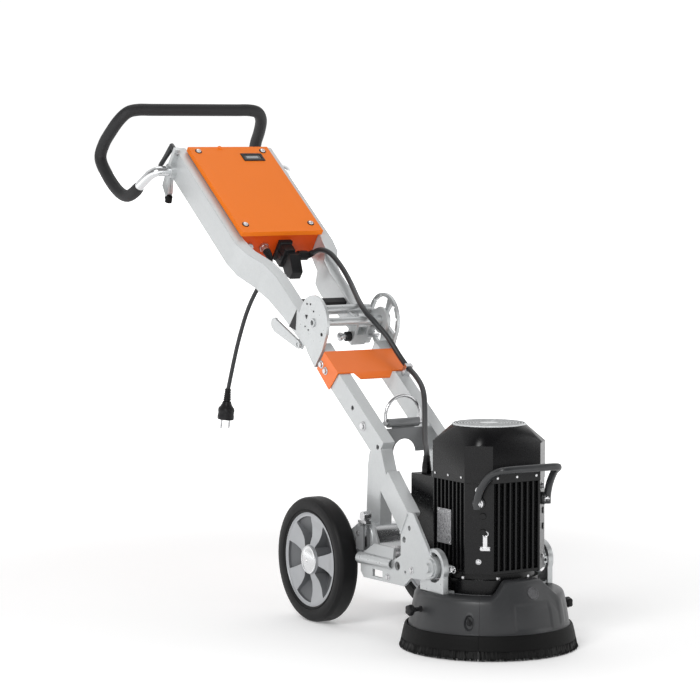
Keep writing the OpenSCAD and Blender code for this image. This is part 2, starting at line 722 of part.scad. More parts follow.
module fan_cowl() color("#151515") placed() translate([0, 0, cowl_low_z]) difference() {
    union() {
        cowl_shell(0);
        hull() {
            translate([0, 0, 69]) linear_extrude(1) octagon(motor_flat + 1, motor_flat_half);
            translate([0, 0, cowl_top_z - cowl_low_z - 3]) cylinder(r = 72, h = 1, $fn = 48);
        }
        translate([0, 0, cowl_top_z - cowl_low_z - 3]) cylinder(r = 70.5, h = 3);
    }
    translate([0, 0, -1]) cowl_shell(3);
    translate([0, 0, 60]) cylinder(r = 66, h = cowl_top_z - cowl_low_z - 63);
    for (k = [0 : 2]) translate([0, 0, cowl_top_z - cowl_low_z - 5]) difference() {
        cylinder(r = 26 + 16 * k, h = 8);
        translate([0, 0, -1]) cylinder(r = 18 + 16 * k, h = 10);
        for (a = [0 : 45 : 135]) rotate(a) block(-80, 80, -2.5, 2.5, -1, 10);
    }
}

module terminal_box() color("#181818") placed() {
    difference() {
        block(-64, 24, motor_flat, 172, 175, 318);
        block(-60, 20, motor_flat + 4, 168, 179, 314);
        translate([-43, 150, 310]) cylinder(r = lead_d / 2 + 0.4, h = 20);
    }
    translate([-43, 150, 318]) difference() {
        union() {
            cylinder(r = 10.5, h = 9, $fn = 6);
            translate([0, 0, 9]) cylinder(r1 = 9.5, r2 = 8, h = 13);
        }
        translate([0, 0, -1]) cylinder(r = lead_d / 2 + 0.4, h = 30);
    }
}

lift_route = [
    [80, -78, 276], [80, -79, 294], [78, -89, 317], [73, -110, 340], [67, -130, 350], [57, -139, 353],
    [38, -141, 354], [0, -142, 354]
];
module front_handle() color("#303030") placed() {
    sweep(both_sides(smooth(lift_route, 3)), 7, 10, [0.2, 1, 0.1]);
    // Feet and bolt heads on the motor's corner pads
    for (turn = [225, 315]) rotate(turn) translate([(motor_flat + motor_flat_half) / sqrt(2), 0, 286]) {
        block(0, 6, -11, 11, -16, 12);
        rotate([0, 90, 0]) cylinder(r = 7.5, h = 15, $fn = 6);
    }
}

module yoke_plates() color("silver") placed() right_too() {
    difference() {
        union() {
            plate_x(-yoke_out, -yoke_in) {
                translate([0, pivot_z]) circle(r = 36);
                polygon([[-33, pivot_z], [-33, 113], [46, 113], [46, 140], [34, pivot_z + 8]]);
            }
            block(-yoke_in - 1, -98, -30, 40, 112, 118);
        }
        plate_x(-yoke_out - 1, -yoke_in + 1) {
            translate([0, pivot_z]) circle(r = hub_r + running);
            translate([0, pivot_z]) intersection() {
                difference() { circle(r = 28); circle(r = 20.5); }
                polygon([[10, 60], [-60, 60], [-60, -60], [10, -60]]);
            }
        }
    }
    // Guide block of the transport pin
    difference() {
        block(-yoke_in, -104, -33, -hub_r - 1, 153, 167);
        translate([-109, 0, pivot_z]) rotate([90, 0, 0]) cylinder(r = 2.5 + running, h = 40);
    }
}

module head_pin() color("gainsboro") placed() translate([-109, 0, pivot_z]) rotate([90, 0, 0]) {
    translate([0, 0, 12.4]) cylinder(r = 2.5, h = 25);
    translate([0, 0, 34]) cylinder(r = 4, h = 4);
    translate([0, 0, 43]) rotate([0, 90, 0]) rotate_extrude() translate([6, 0]) circle(r = 1.1, $fn = 16);
}

// Sector of a turned shell; angles in degrees from straight ahead, positive to the right.
module turned(a0, a1) rotate(270 + a0) rotate_extrude(angle = a1 - a0, $fn = 128) children();

module cover_profile(inner) polygon([
    [inner, cover_top_z - 3], [cover_top_r - 8, cover_top_z - 3], [cover_top_r - 3, cover_top_z - 9],
    [cover_low_r - 3, 46], [cover_low_r - 3, 40], [cover_low_r, 40], [cover_low_r, 46],
    [cover_top_r, cover_top_z - 8], [cover_top_r - 7, cover_top_z], [inner, cover_top_z]]);

module side_covers() color("#404040") placed() difference() {
    union() {
        turned(-side_end_angle, -front_half_angle - 0.15) cover_profile(base_r);
        turned(front_half_angle + 0.15, side_end_angle) cover_profile(base_r);
    }
    for (k = knobs) translate([0, k[2], k[1]]) stub_x(k[0], 120, 165, 4 + running);
}

module front_cover() color("#404040") placed() {
    turned(-front_half_angle, front_half_angle) cover_profile(base_r + 0.5);
    // Raised nose over the motor flange
    turned(-24, 24) polygon([[97, 142], [118, 142], [128, 134], [140, 108], [136, 108], [125, 131],
        [117, 139], [97, 139]]);
}

module rear_hood() color("silver") placed() difference() {
    union() {
        turned(side_end_angle + 0.2, 359.8 - side_end_angle) polygon([
            [base_r, cover_top_z - 3], [cover_top_r - 10, cover_top_z - 3], [cover_top_r - 5, cover_top_z - 9],
            [cover_low_r - 4, 40], [cover_low_r - 1, 40], [cover_top_r - 2, cover_top_z - 8],
            [cover_top_r - 9, cover_top_z], [base_r, cover_top_z]]);
        // Hose spigot on its flange
        translate([0, 130, 76]) rotate([-90, 0, 0]) cylinder(r = 29.5, h = 30);
        translate([0, 160, 76]) rotate([-90, 0, 0]) cylinder(r = 25, h = 40);
    }
    translate([0, 100, 76]) rotate([-90, 0, 0]) cylinder(r = 22, h = 110);
    intersection() {
        translate([0, 0, 40]) cylinder(r = cover_top_r - 6, h = 66);
        block(-30, 30, 100, cover_low_r, 41, 106);
    }
}

module skirt_profile() {
    polygon([[cover_low_r + 0.4, 46], [cover_low_r + 4, 46], [166, 19], [162, 19], [cover_low_r + 0.4, 36]]);
    polygon([[162, 19], [166, 19], [skirt_r, 0.4], [skirt_r - 8, 0.4]]);
}
module rear_skirt() color("#101010") placed() turned(front_half_angle + 0.15, 360 - front_half_angle - 0.15)
    skirt_profile();
module front_skirt() color("#101010") placed() turned(-front_half_angle, front_half_angle) skirt_profile();

module cover_knob(k) color("#181818") placed() translate([0, k[2], k[1]]) {
    stub_x(k[0], 138, 172, 4);
    stub_x(k[0], 170, 182, 10);
}
module knob_left() cover_knob(knobs[0]);
module knob_right() cover_knob(knobs[1]);

// ---- rotor --------------------------------------------------------------

module rotor() color("gray") placed() {
    translate([0, 0, 62]) cylinder(r = 14, h = 316);
    translate([0, 0, 190]) cylinder(r = 48, h = 90);
    // Cooling fan under the cowl
    translate([0, 0, 340]) cylinder(r = 24, h = 22);
    for (k = [0 : 7]) translate([0, 0, 340]) rotate(45 * k) block(22, 74, -1.5, 1.5, 0, 26);
}

module grinding_disc() color("dimgray") placed() {
    translate([0, 0, 26]) cylinder(r = disc_r, h = 10);
    translate([0, 0, 36]) cylinder(r = 46, h = 26);
    for (k = [0 : 5]) rotate(60 * k) {
        translate([0, 0, 12]) intersection() {
            difference() { cylinder(r = 134, h = 15); translate([0, 0, -1]) cylinder(r = 84, h = 17); }
            block(80, 140, -26, 26, -1, 17);
        }
        for (x = [92, 112]) translate([x, 0, 0]) block(-6, 8, -16, 16, 0, 13);
    }
}

lower_frame_left();
lower_frame_right();
axle_carrier();
shield_plate();
brace_plate();
frame_bolts();
wheel_axle();
fold_disc_left();
fold_ring_right();
pedal_bracket();
tyre_left();
rim_left();
bearings_left();
tyre_right();
rim_right();
bearings_right();
upper_rail_left();
upper_rail_right();
upper_tubes();
cross_member();
control_box();
box_lid();
lid_screws();
display();
drive_unit();
cable_glands();
connector_hood();
lead_upper();
lead_lower();
mains_cord();
mains_plug();
handle_clamps();
handle_tube();
handle_grip();
clamp_lever();
fold_lever();
lock_plunger();
lift_bail();
foot_pedal();
head_pin();
start_button();
stop_button();
speed_knob();
motor_housing();
stator();
motor_bearings();
fan_cowl();
terminal_box();
front_handle();
base_plate();
yoke_plates();
side_covers();
rear_hood();
rear_skirt();
front_cover();
front_skirt();
knob_left();
knob_right();
rotor();
grinding_disc();
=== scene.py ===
import json
import math
import random

import bmesh
import bpy
from mathutils import Matrix, Vector


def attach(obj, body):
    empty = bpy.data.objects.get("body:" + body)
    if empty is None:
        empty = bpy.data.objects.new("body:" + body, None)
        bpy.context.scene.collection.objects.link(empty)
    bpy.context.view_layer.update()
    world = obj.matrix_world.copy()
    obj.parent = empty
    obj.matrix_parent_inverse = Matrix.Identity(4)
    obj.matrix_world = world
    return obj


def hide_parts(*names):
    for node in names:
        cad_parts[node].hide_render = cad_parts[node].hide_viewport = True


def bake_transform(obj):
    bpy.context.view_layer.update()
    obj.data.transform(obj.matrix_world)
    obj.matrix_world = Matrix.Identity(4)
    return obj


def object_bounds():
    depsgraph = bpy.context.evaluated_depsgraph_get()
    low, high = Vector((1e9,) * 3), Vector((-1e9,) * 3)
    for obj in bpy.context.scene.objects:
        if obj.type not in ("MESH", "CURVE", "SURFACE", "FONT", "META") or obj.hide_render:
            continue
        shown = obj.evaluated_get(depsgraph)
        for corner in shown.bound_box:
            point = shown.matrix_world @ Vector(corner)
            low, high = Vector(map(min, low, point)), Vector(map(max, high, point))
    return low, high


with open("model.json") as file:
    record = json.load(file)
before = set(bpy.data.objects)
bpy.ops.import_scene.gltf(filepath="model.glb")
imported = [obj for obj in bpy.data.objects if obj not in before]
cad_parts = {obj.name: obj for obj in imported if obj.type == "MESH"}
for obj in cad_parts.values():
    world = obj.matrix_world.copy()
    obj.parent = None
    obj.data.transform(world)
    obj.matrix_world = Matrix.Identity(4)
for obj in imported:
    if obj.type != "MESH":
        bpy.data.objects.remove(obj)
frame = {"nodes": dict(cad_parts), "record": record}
CAD_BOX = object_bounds()
NODES = frame["nodes"]
RECORD = frame["record"]

# Lengths below are in millimetres in the machine's own frame: X across, Y back from the
# spindle axis, Z up from the floor. in_row() turns them into the row frame, in metres.
MM = 0.001
MID_Y = 542
SLOPE = math.radians(36.5)
HINGE = (0, 505, 590)
HANDLE_R = 11
GRIP_R = 13.5
CORD_D = 9
LEAD_D = 11
AXLE = (401, 125)
TYRE_MID = 139.5
TYRE_HALF = 21.5
RIM_R = 94
WHEEL_R = 125
BOX_S0 = 320
BOX_LEN = 300
LID_N = -18
COWL_TOP = 425
MOTOR_FLAT = 91
MOTOR_HALF = 54
MOTOR_PAD = (MOTOR_FLAT + MOTOR_HALF) / math.sqrt(2)
FRONT_ANGLE = 41
SIDE_ANGLE = 96
SPLIT_GAP = 0.15
SMOOTH_ANGLE = 34
FLAT_ANGLE = 0.4
WELD_GAP = 0.01
FLAT_WEIGHT = 60

CORD_ROUTE = [
    (-33, 787, 724), (-33, 780, 718.6), (-33.5, 773, 711.5), (-35, 769, 703), (-38, 768, 692),
    (-42, 772, 679), (-46, 781, 663), (-51, 796, 643), (-55, 813, 619), (-59, 829, 590),
    (-63, 843, 556), (-67, 856, 518), (-70, 867, 482), (-73, 876, 448), (-75, 883, 423),
]
LEAD_UPPER_ROUTE = [
    (52, 771.6, 714), (60, 771.6, 714), (67, 764, 719), (72.5, 743.5, 726), (77.5, 719.5, 723),
    (80.5, 696.5, 711.5), (79, 659, 688), (74, 622, 662.5), (61, 581, 642), (48.5, 546.5, 628.5),
    (39.5, 518, 617.5), (37, 497.5, 605.5), (42, 475, 589), (52.5, 450, 564.5), (60, 434.5, 544),
    (66, 419, 523), (69.5, 402, 506.5), (70, 392.2, 500),
]
LEAD_LOWER_ROUTE = [
    (70, 391.4, 499.6), (68, 362, 486), (60, 328, 470), (51, 304, 453), (38, 281, 431),
    (20, 253, 408), (0, 222, 387), (-20, 190, 369), (-34, 164, 358), (-41, 153, 349),
    (-43, 150, 338), (-43, 150, 326),
]
HANDLE_HALF = [
    (124, 1040, 892), (135, 1040, 892), (146, 1040, 892), (160, 1042, 891), (171, 1055, 883),
    (179, 1078, 865), (184, 1106, 845), (188, 1136, 837), (192, 1170, 849), (195, 1212, 880),
    (197, 1243, 918), (194, 1232, 950), (189, 1206, 978), (180, 1182, 1004), (164, 1170, 1021),
    (140, 1167, 1026), (110, 1167, 1026), (60, 1167, 1026), (0, 1167, 1026),
]
LIFT_ROUTE = [
    (80, -78, 276), (80, -79, 294), (78, -89, 317), (73, -110, 340), (67, -130, 350),
    (57, -139, 353), (38, -141, 354), (0, -142, 354),
]


# ---- placing and mesh building ----

def in_row(p):
    return Vector((p[0], p[1] - MID_Y, p[2])) * MM


ON_SLOPE = Matrix.Translation(HINGE) @ Matrix.Rotation(SLOPE, 4, "X")


def facing(point, axis, turn=0.0):
    """Places local Z along axis at point."""
    spin = Matrix.Rotation(math.radians(turn), 4, "Z")
    return Matrix.Translation(point) @ Vector(axis).to_track_quat("Z", "Y").to_matrix().to_4x4() @ spin


def smooth(points, steps):
    """Catmull-Rom points through the given ones."""
    p = [Vector(q) for q in points]
    out = []
    for i in range(len(p) - 1):
        a, b, c, d = p[max(i - 1, 0)], p[i], p[i + 1], p[min(i + 2, len(p) - 1)]
        for k in range(steps):
            t = k / steps
            out.append(0.5 * (2 * b + (c - a) * t + (2 * a - 5 * b + 4 * c - d) * t * t
                              + (3 * b - a - 3 * c + d) * t ** 3))
    return out + [p[-1]]


def both_sides(points):
    """A path given from one end to the middle, made whole by its mirror image in X."""
    left = [Vector((-p[0], p[1], p[2])) for p in points]
    return left + [Vector(p) for p in reversed(points[:-1])]


def step(low, high, value):
    """Smooth step from 0 at low to 1 at high."""
    t = min(1.0, max(0.0, (value - low) / (high - low)))
    return t * t * (3 - 2 * t)


class Builder:
    """Collects solids into one mesh, in machine millimetres."""

    def __init__(self):
        self.points, self.faces, self.kinds, self.kind = [], [], [], 0

    def add(self, points, faces, place=None):
        base = len(self.points)
        self.points += [place @ Vector(p) if place else Vector(p) for p in points]
        self.faces += [[base + i for i in f] for f in faces]
        self.kinds += [self.kind] * len(faces)

    def lathe(self, profile, place=None, sides=48, closed=False, shape=None):
        """Turns (radius, height) points about local Z; shape(angle) may scale the radius."""
        rings, points, faces = [], [], []
        for r, z in profile:
            count = 1 if r < 1e-6 else sides
            rings.append(list(range(len(points), len(points) + count)))
            for k in range(count):
                a = 2 * math.pi * k / sides
                q = r * (shape(a) if shape else 1)
                points.append((q * math.cos(a), q * math.sin(a), z))
        for a, b in zip(rings, rings[1:] + (rings[:1] if closed else [])):
            for k in range(sides):
                j = (k + 1) % sides
                if len(a) > 1 and len(b) > 1:
                    faces.append((a[k], a[j], b[j], b[k]))
                elif len(b) > 1:
                    faces.append((a[0], b[j], b[k]))
                elif len(a) > 1:
                    faces.append((a[k], a[j], b[0]))
        self.add(points, faces, place)

    def tube(self, path, radius, sides=20, place=None, inner=None):
        """Solid tube, or a sleeve when inner is given; radius is one number or one per point."""
        path = [Vector(p) for p in path]
        count = len(path)
        radii = radius if isinstance(radius, (list, tuple)) else [radius] * count
        behind, ahead = path[:1] + path[:-1], path[1:] + path[-1:]
        tangents = [(b - a).normalized() for a, b in zip(behind, ahead)]
        side = Vector((0.3, 1, 0.2))
        points, inside = [], []
        for p, t, r in zip(path, tangents, radii):
            side = (side - side.dot(t) * t).normalized()
            other = t.cross(side)
            for k in range(sides):
                a = 2 * math.pi * k / sides
                out = math.cos(a) * side + math.sin(a) * other
                points.append(p + out * r)
                inside.append(p + out * (inner or 0))
        if inner is None:
            faces = capped_tube(count, sides)
        else:
            base = len(points)
            points += inside
            faces = tube_faces(0, count, sides) + tube_faces(base, count, sides)
            for start in (0, (count - 1) * sides):
                for k in range(sides):
                    j = (k + 1) % sides
                    faces.append((start + k, start + j, base + start + j, base + start + k))
        self.add(points, faces, place)

    def block(self, x0, x1, y0, y1, z0, z1, place=None):
        points = [(x, y, z) for z in (z0, z1) for y in (y0, y1) for x in (x0, x1)]
        faces = [(0, 1, 3, 2), (4, 5, 7, 6), (0, 1, 5, 4), (2, 3, 7, 6), (0, 2, 6, 4), (1, 3, 7, 5)]
        self.add(points, faces, place)

    def prism(self, outline, z0, z1, place=None):
        n = len(outline)
        points = [(x, y, z) for z in (z0, z1) for x, y in outline]
        faces = [list(range(n)), list(range(n, 2 * n))]
        faces += [(k, (k + 1) % n, n + (k + 1) % n, n + k) for k in range(n)]
        self.add(points, faces, place)

    def sector(self, loop_at, a0, a1, count):
        """Closed profile loops turned from azimuth a0 to a1, measured from straight ahead."""
        points, size = [], 0
        for i in range(count + 1):
            a = a0 + (a1 - a0) * i / count
            loop = loop_at(a)
            size = len(loop)
            u = math.radians(a)
            points += [(r * math.sin(u), -r * math.cos(u), z) for r, z in loop]
        self.add(points, capped_tube(count + 1, size))

    def make(self, name, body, slot, replaces=(), bevel=0.0, finishes=None):
        """Turns what was collected into a piece that rides on a body; finishes go by kind."""
        mesh = bpy.data.meshes.new(name)
        mesh.from_pydata([in_row(p) for p in self.points], [], self.faces)
        for polygon, kind in zip(mesh.polygons, self.kinds):
            polygon.material_index = kind
        work = bmesh.new()
        work.from_mesh(mesh)
        bmesh.ops.recalc_face_normals(work, faces=work.faces)
        work.to_mesh(mesh)
        work.free()
        ob = add_object(name, mesh)
        for one in finishes or [slot]:
            mesh.materials.append(FINISHES[one])
        if bevel:
            round_edges(ob, bevel)
        soften(ob)
        if bevel:
            even_normals(ob)
        if body:
            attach(ob, body)
        if replaces:
            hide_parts(*replaces)
        return ob


def add_object(name, data):
    ob = bpy.data.objects.new(name, data)
    bpy.context.scene.collection.objects.link(ob)
    return ob


def tube_faces(base, count, sides):
    """Faces between rings of points that follow each other from index base on."""
    return [(base + i * sides + k, base + i * sides + (k + 1) % sides,
             base + (i + 1) * sides + (k + 1) % sides, base + (i + 1) * sides + k)
            for i in range(count - 1) for k in range(sides)]


def capped_tube(count, sides):
    """Faces of a tube of rings with both of its ends closed."""
    last = (count - 1) * sides
    return tube_faces(0, count, sides) + [list(range(sides)), list(range(last, last + sides))]


def add_node(tree, kind, inputs, **settings):
    """Adds a node with its settings and inputs."""
    node = tree.nodes.new(kind)
    for key, value in settings.items():
        setattr(node, key, value)
    set_inputs(tree, node, inputs)
    return node


def set_inputs(tree, node, inputs):
    """Gives each input its value, or links it to the socket given for it."""
    for key, value in inputs.items():
        if isinstance(value, bpy.types.NodeSocket):
            tree.links.new(value, node.inputs[key])
        else:
            node.inputs[key].default_value = value


def smoothing_group():
    """Geometry nodes that shade faces smooth where they meet at less than SMOOTH_ANGLE."""
    group = bpy.data.node_groups.new("soft_shading", "GeometryNodeTree")
    for way in ("INPUT", "OUTPUT"):
        group.interface.new_socket("Geometry", in_out=way, socket_type="NodeSocketGeometry")
    given = add_node(group, "NodeGroupInput", {}).outputs[0]
    angle = add_node(group, "GeometryNodeInputMeshEdgeAngle", {}).outputs["Unsigned Angle"]
    limit = {"A": angle, "B": math.radians(SMOOTH_ANGLE)}
    under = add_node(group, "FunctionNodeCompare", limit, operation="LESS_THAN").outputs[0]
    faces = add_node(group, "GeometryNodeSetShadeSmooth", {"Geometry": given}).outputs[0]
    edges = add_node(group, "GeometryNodeSetShadeSmooth", {"Geometry": faces, "Shade Smooth": under},
                     domain="EDGE").outputs[0]
    add_node(group, "NodeGroupOutput", {0: edges})
    return group


SOFT_SHADING = smoothing_group()


def soften(ob):
    ob.modifiers.new("shading", "NODES").node_group = SOFT_SHADING


def even_normals(ob):
    """Keeps flat faces flat beside their rounded edges."""
    weighted = ob.modifiers.new("normals", "WEIGHTED_NORMAL")
    weighted.keep_sharp = True
    weighted.weight = FLAT_WEIGHT


def round_edges(ob, width, clamp=False):
    bevel = ob.modifiers.new("rounded", "BEVEL")
    bevel.width = width * MM
    bevel.segments = 2
    bevel.limit_method = "ANGLE"
    bevel.angle_limit = math.radians(SMOOTH_ANGLE)
    bevel.use_clamp_overlap = clamp


def clean_cad(ob, width):
    """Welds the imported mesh, merges its flat faces and rounds its edges, by modifiers alone."""
    normals = ob.data.attributes.get("custom_normal")
    if normals:
        ob.data.attributes.remove(normals)
    weld = ob.modifiers.new("weld", "WELD")
    weld.merge_threshold = WELD_GAP * MM
    if width:
        merge = ob.modifiers.new("flat", "DECIMATE")
        merge.decimate_type = "DISSOLVE"
        merge.angle_limit = math.radians(FLAT_ANGLE)
        round_edges(ob, width, ob.name in CLAMPED)
    soften(ob)
    even_normals(ob)


# ---- finishes ----

def finish(name, colour, roughness, metallic=0.0, shade=0.2, cloud=40.0, spread=0.08, grain=900.0,
           depth=0.02, stretch=(1, 1, 1), flecks=0.0, fleck_size=300.0, specular=0.5):
    """A procedural finish: slow colour drift, fine flecks, uneven gloss and a fine relief."""
    material = bpy.data.materials.new(name)
    material.use_nodes = True
    tree = material.node_tree
    where = add_node(tree, "ShaderNodeTexCoord", {}).outputs["Object"]
    scaled = add_node(tree, "ShaderNodeMapping", {"Scale": stretch, "Vector": where}).outputs["Vector"]

    def noise(size, detail, source):
        inputs = {"Scale": size, "Detail": detail, "Roughness": 0.55, "Vector": source}
        return add_node(tree, "ShaderNodeTexNoise", inputs).outputs["Fac"]

    dark = (*[c * (1 - shade) for c in colour], 1)
    light = (*[min(1, c * (1 + shade)) for c in colour], 1)
    drift = {"A": dark, "B": light, "Factor": noise(cloud, 4, where)}
    top = add_node(tree, "ShaderNodeMix", drift, data_type="RGBA").outputs["Result"]
    if flecks:
        cells = add_node(tree, "ShaderNodeTexVoronoi", {"Scale": fleck_size, "Vector": where})
        grey = add_node(tree, "ShaderNodeRGBToBW", {"Color": cells.outputs["Color"]})
        spangle = {"Factor": flecks, "A": top, "B": grey.outputs["Val"]}
        mixed = add_node(tree, "ShaderNodeMix", spangle, data_type="RGBA", blend_type="OVERLAY")
        top = mixed.outputs["Result"]
    gloss = {"To Min": max(0.03, roughness - spread), "To Max": min(1.0, roughness + spread),
             "Value": noise(cloud * 9, 5, scaled)}
    relief = {"Distance": depth * MM, "Height": noise(grain, 3, scaled)}
    set_inputs(tree, tree.nodes["Principled BSDF"], {
        "Base Color": top,
        "Metallic": metallic,
        "Specular IOR Level": specular,
        "Roughness": add_node(tree, "ShaderNodeMapRange", gloss).outputs["Result"],
        "Normal": add_node(tree, "ShaderNodeBump", relief).outputs["Normal"],
    })
    return material


# The look of each material slot: base colour, roughness, and what differs from a plain finish
ACROSS = (0.06, 1, 1)
LOOKS = {
    "zinc_frame": ((0.52, 0.535, 0.54), 0.36, dict(metallic=0.4, shade=0.04, cloud=11, depth=0.012,
        flecks=0.03)),
    "zinc_plate": ((0.52, 0.535, 0.54), 0.3, dict(metallic=0.6, shade=0.05, cloud=14, grain=800,
        depth=0.012, flecks=0.05)),
    "steel": ((0.60, 0.60, 0.61), 0.26, dict(metallic=0.95, shade=0.08, depth=0.01, stretch=ACROSS)),
    "chrome_tube": ((0.72, 0.73, 0.74), 0.2, dict(metallic=0.9, shade=0.04, cloud=16, grain=600,
        depth=0.006, stretch=ACROSS)),
    "orange_lid": ((0.86, 0.19, 0.010), 0.42, dict(shade=0.03, cloud=6, spread=0.05, grain=650,
        specular=0.14)),
    "red_body": ((0.68, 0.072, 0.005), 0.36, dict(shade=0.06, cloud=9, grain=650, specular=0.2)),
    "brace_orange": ((0.80, 0.165, 0.02), 0.34, dict(shade=0.04, cloud=12, grain=650, specular=0.4)),
    "black_plastic": ((0.009, 0.009, 0.010), 0.44, dict(cloud=20, grain=1100, depth=0.03,
        specular=0.25)),
    "grey_plastic": ((0.034, 0.035, 0.037), 0.4, dict(shade=0.12, cloud=12, spread=0.06, grain=1400,
        depth=0.03, specular=0.4)),
    "shield": ((0.20, 0.205, 0.21), 0.45, dict(metallic=0.3, shade=0.1, cloud=18, grain=800)),
    "motor_black": ((0.0035, 0.0035, 0.004), 0.28, dict(cloud=18, spread=0.06, grain=420, depth=0.04,
        specular=0.24)),
    "rubber": ((0.0055, 0.0055, 0.0055), 0.6, dict(shade=0.25, cloud=22, depth=0.04, specular=0.14)),
    "tyre": ((0.0075, 0.0075, 0.008), 0.5, dict(cloud=14, grain=520, depth=0.05, specular=0.2)),
    "rim": ((0.40, 0.41, 0.425), 0.38, dict(metallic=0.3, shade=0.06, cloud=22)),
    "grip": ((0.016, 0.016, 0.017), 0.6, dict(cloud=26, grain=1300, depth=0.09, specular=0.35)),
    "cord": ((0.020, 0.021, 0.023), 0.46, dict(shade=0.15, cloud=30, grain=1100, depth=0.03)),
    "display": ((0.012, 0.013, 0.015), 0.12, dict(cloud=30, grain=300, depth=0.004)),
    "green": ((0.02, 0.30, 0.06), 0.3, dict(shade=0.08)),
    "red": ((0.55, 0.014, 0.012), 0.3, dict(shade=0.08)),
    "copper": ((0.55, 0.24, 0.10), 0.35, dict(metallic=0.8, shade=0.12, cloud=60, grain=500, depth=0.2,
        stretch=(1, 1, 0.1))),
    "cast": ((0.10, 0.10, 0.105), 0.55, dict(metallic=0.5, grain=420, depth=0.12, flecks=0.3,
        fleck_size=400)),
    "handle_grey": ((0.022, 0.023, 0.025), 0.34, dict(shade=0.12, cloud=20, depth=0.03)),
    # Rim pockets: darker than the rim, painted shade for the depth of the recesses
    "rim_pocket_shade": ((0.15, 0.155, 0.162), 0.42, dict(metallic=0.3, shade=0.15, cloud=22)),
    "lcd": ((0.24, 0.25, 0.26), 0.2, dict(grain=300, depth=0.004)),
    "label": ((0.30, 0.30, 0.31), 0.4, dict(metallic=0.4, shade=0.3, cloud=160, depth=0.03, flecks=0.8,
        fleck_size=620)),
    "bristle": ((0.005, 0.005, 0.005), 0.5, dict(shade=0.3, cloud=200, specular=0.25)),
}
FINISHES = {name: finish(name, colour, roughness, **rest)
            for name, (colour, roughness, rest) in LOOKS.items()}

# Edge rounding of the CAD nodes that are shown, in millimetres. The rest get SMALL_ROUNDING,
# and 0 leaves a node's edges as they are.
SMALL_ROUNDING = 0.5
ROUNDING = {
    "lower_frame_left": 0.0, "lower_frame_right": 0.0, "upper_rail_left": 3.0, "upper_rail_right": 3.0,
    "brace_plate": 1.0, "box_lid": 2.2, "control_box": 2.0, "cross_member": 1.5, "axle_carrier": 1.4,
    "motor_housing": 0.9, "fan_cowl": 2.5, "terminal_box": 3.0, "connector_hood": 2.0,
    "shield_plate": 0.8, "fold_disc_left": 1.0, "fold_ring_right": 1.0, "yoke_plates": 1.0,
    "handle_clamps": 1.0, "fold_lever": 1.2, "pedal_bracket": 0.8, "foot_pedal": 1.2, "rear_hood": 1.0,
    "grinding_disc": 0.8, "base_plate": 0.8, "stop_button": 2.0, "start_button": 1.2, "speed_knob": 1.2,
    "frame_bolts": 0.6, "wheel_axle": 0.8, "upper_tubes": 0.8, "cable_glands": 0.6,
    "head_pin": 0.3, "lift_bail": 0.0, "drive_unit": 0.8, "rotor": 0.8,
}
# Nodes with narrow faces, where a rounding is held back before it overlaps
CLAMPED = {"fan_cowl", "fold_disc_left", "fold_lever", "fold_ring_right", "foot_pedal", "handle_clamps",
           "terminal_box", "box_lid"}


def dress_cad():
    """Every CAD node keeps its mesh and gets its slot's finish."""
    for part in RECORD["subparts"]:
        ob = NODES[part["node"]]
        ob.data.materials.clear()
        ob.data.materials.append(FINISHES[part["material_slot"]])
        clean_cad(ob, ROUNDING.get(part["node"], SMALL_ROUNDING))


# ---- camera ----

CAMERA_AT = (-2.916, -4.789, 0.969)
CAMERA_AZIMUTH = -31.547
CAMERA_ELEVATION = 4.492
CAMERA_ROLL = -0.077
LENS = 140.5
SENSOR = 36


def make_camera():
    camera = add_object("camera", bpy.data.cameras.new("camera"))
    camera.data.lens = LENS
    camera.data.sensor_width = SENSOR
    azimuth, elevation = math.radians(CAMERA_AZIMUTH), math.radians(CAMERA_ELEVATION)
    level = math.cos(elevation)
    back = Vector((math.sin(azimuth) * level, -math.cos(azimuth) * level, math.sin(elevation)))
    turn = (-back).to_track_quat("-Z", "Y").to_matrix().to_4x4()
    roll = Matrix.Rotation(math.radians(CAMERA_ROLL), 4, "Z")
    camera.matrix_world = Matrix.Translation(CAMERA_AT) @ turn @ roll
    bpy.context.scene.camera = camera


# ---- cords ----

def make_mains_cable():
    """The mains cord hangs free from its gland and ends in its plug."""
    work = Builder()
    work.tube(smooth(CORD_ROUTE, 8), CORD_D / 2, 20)
    cable = work.make("mains_cable", "upper_frame", "cord", ["mains_cord"])
    boot = make_boot("mains_boot", smooth(CORD_ROUTE, 8), 34, 8.2, CORD_D / 2 + 0.7, "upper_frame")
    plug, pins = make_plug()


def make_boot(name, route, reach, r_wide, r_narrow, body):
    """Tapered ribbed strain relief round the first stretch of a cord."""
    path, radii, run = [route[0]], [r_wide], 0.0
    for a, b in zip(route, route[1:]):
        run += (b - a).length
        if run > reach:
            break
        path.append(b)
        radii.append(r_wide + (r_narrow - r_wide) * run / reach)
    fine, wide = [], []
    for i in range((len(path) - 1) * 4):
        t = i / 4
        k, f = int(t), t - int(t)
        fine.append(path[k].lerp(path[k + 1], f))
        rib = 0.35 * math.cos(i * math.pi / 2.5)
        wide.append(radii[k] + (radii[k + 1] - radii[k]) * f + rib)
    work = Builder()
    work.tube(fine, wide, 22)
    return work.make(name, body, "black_plastic")


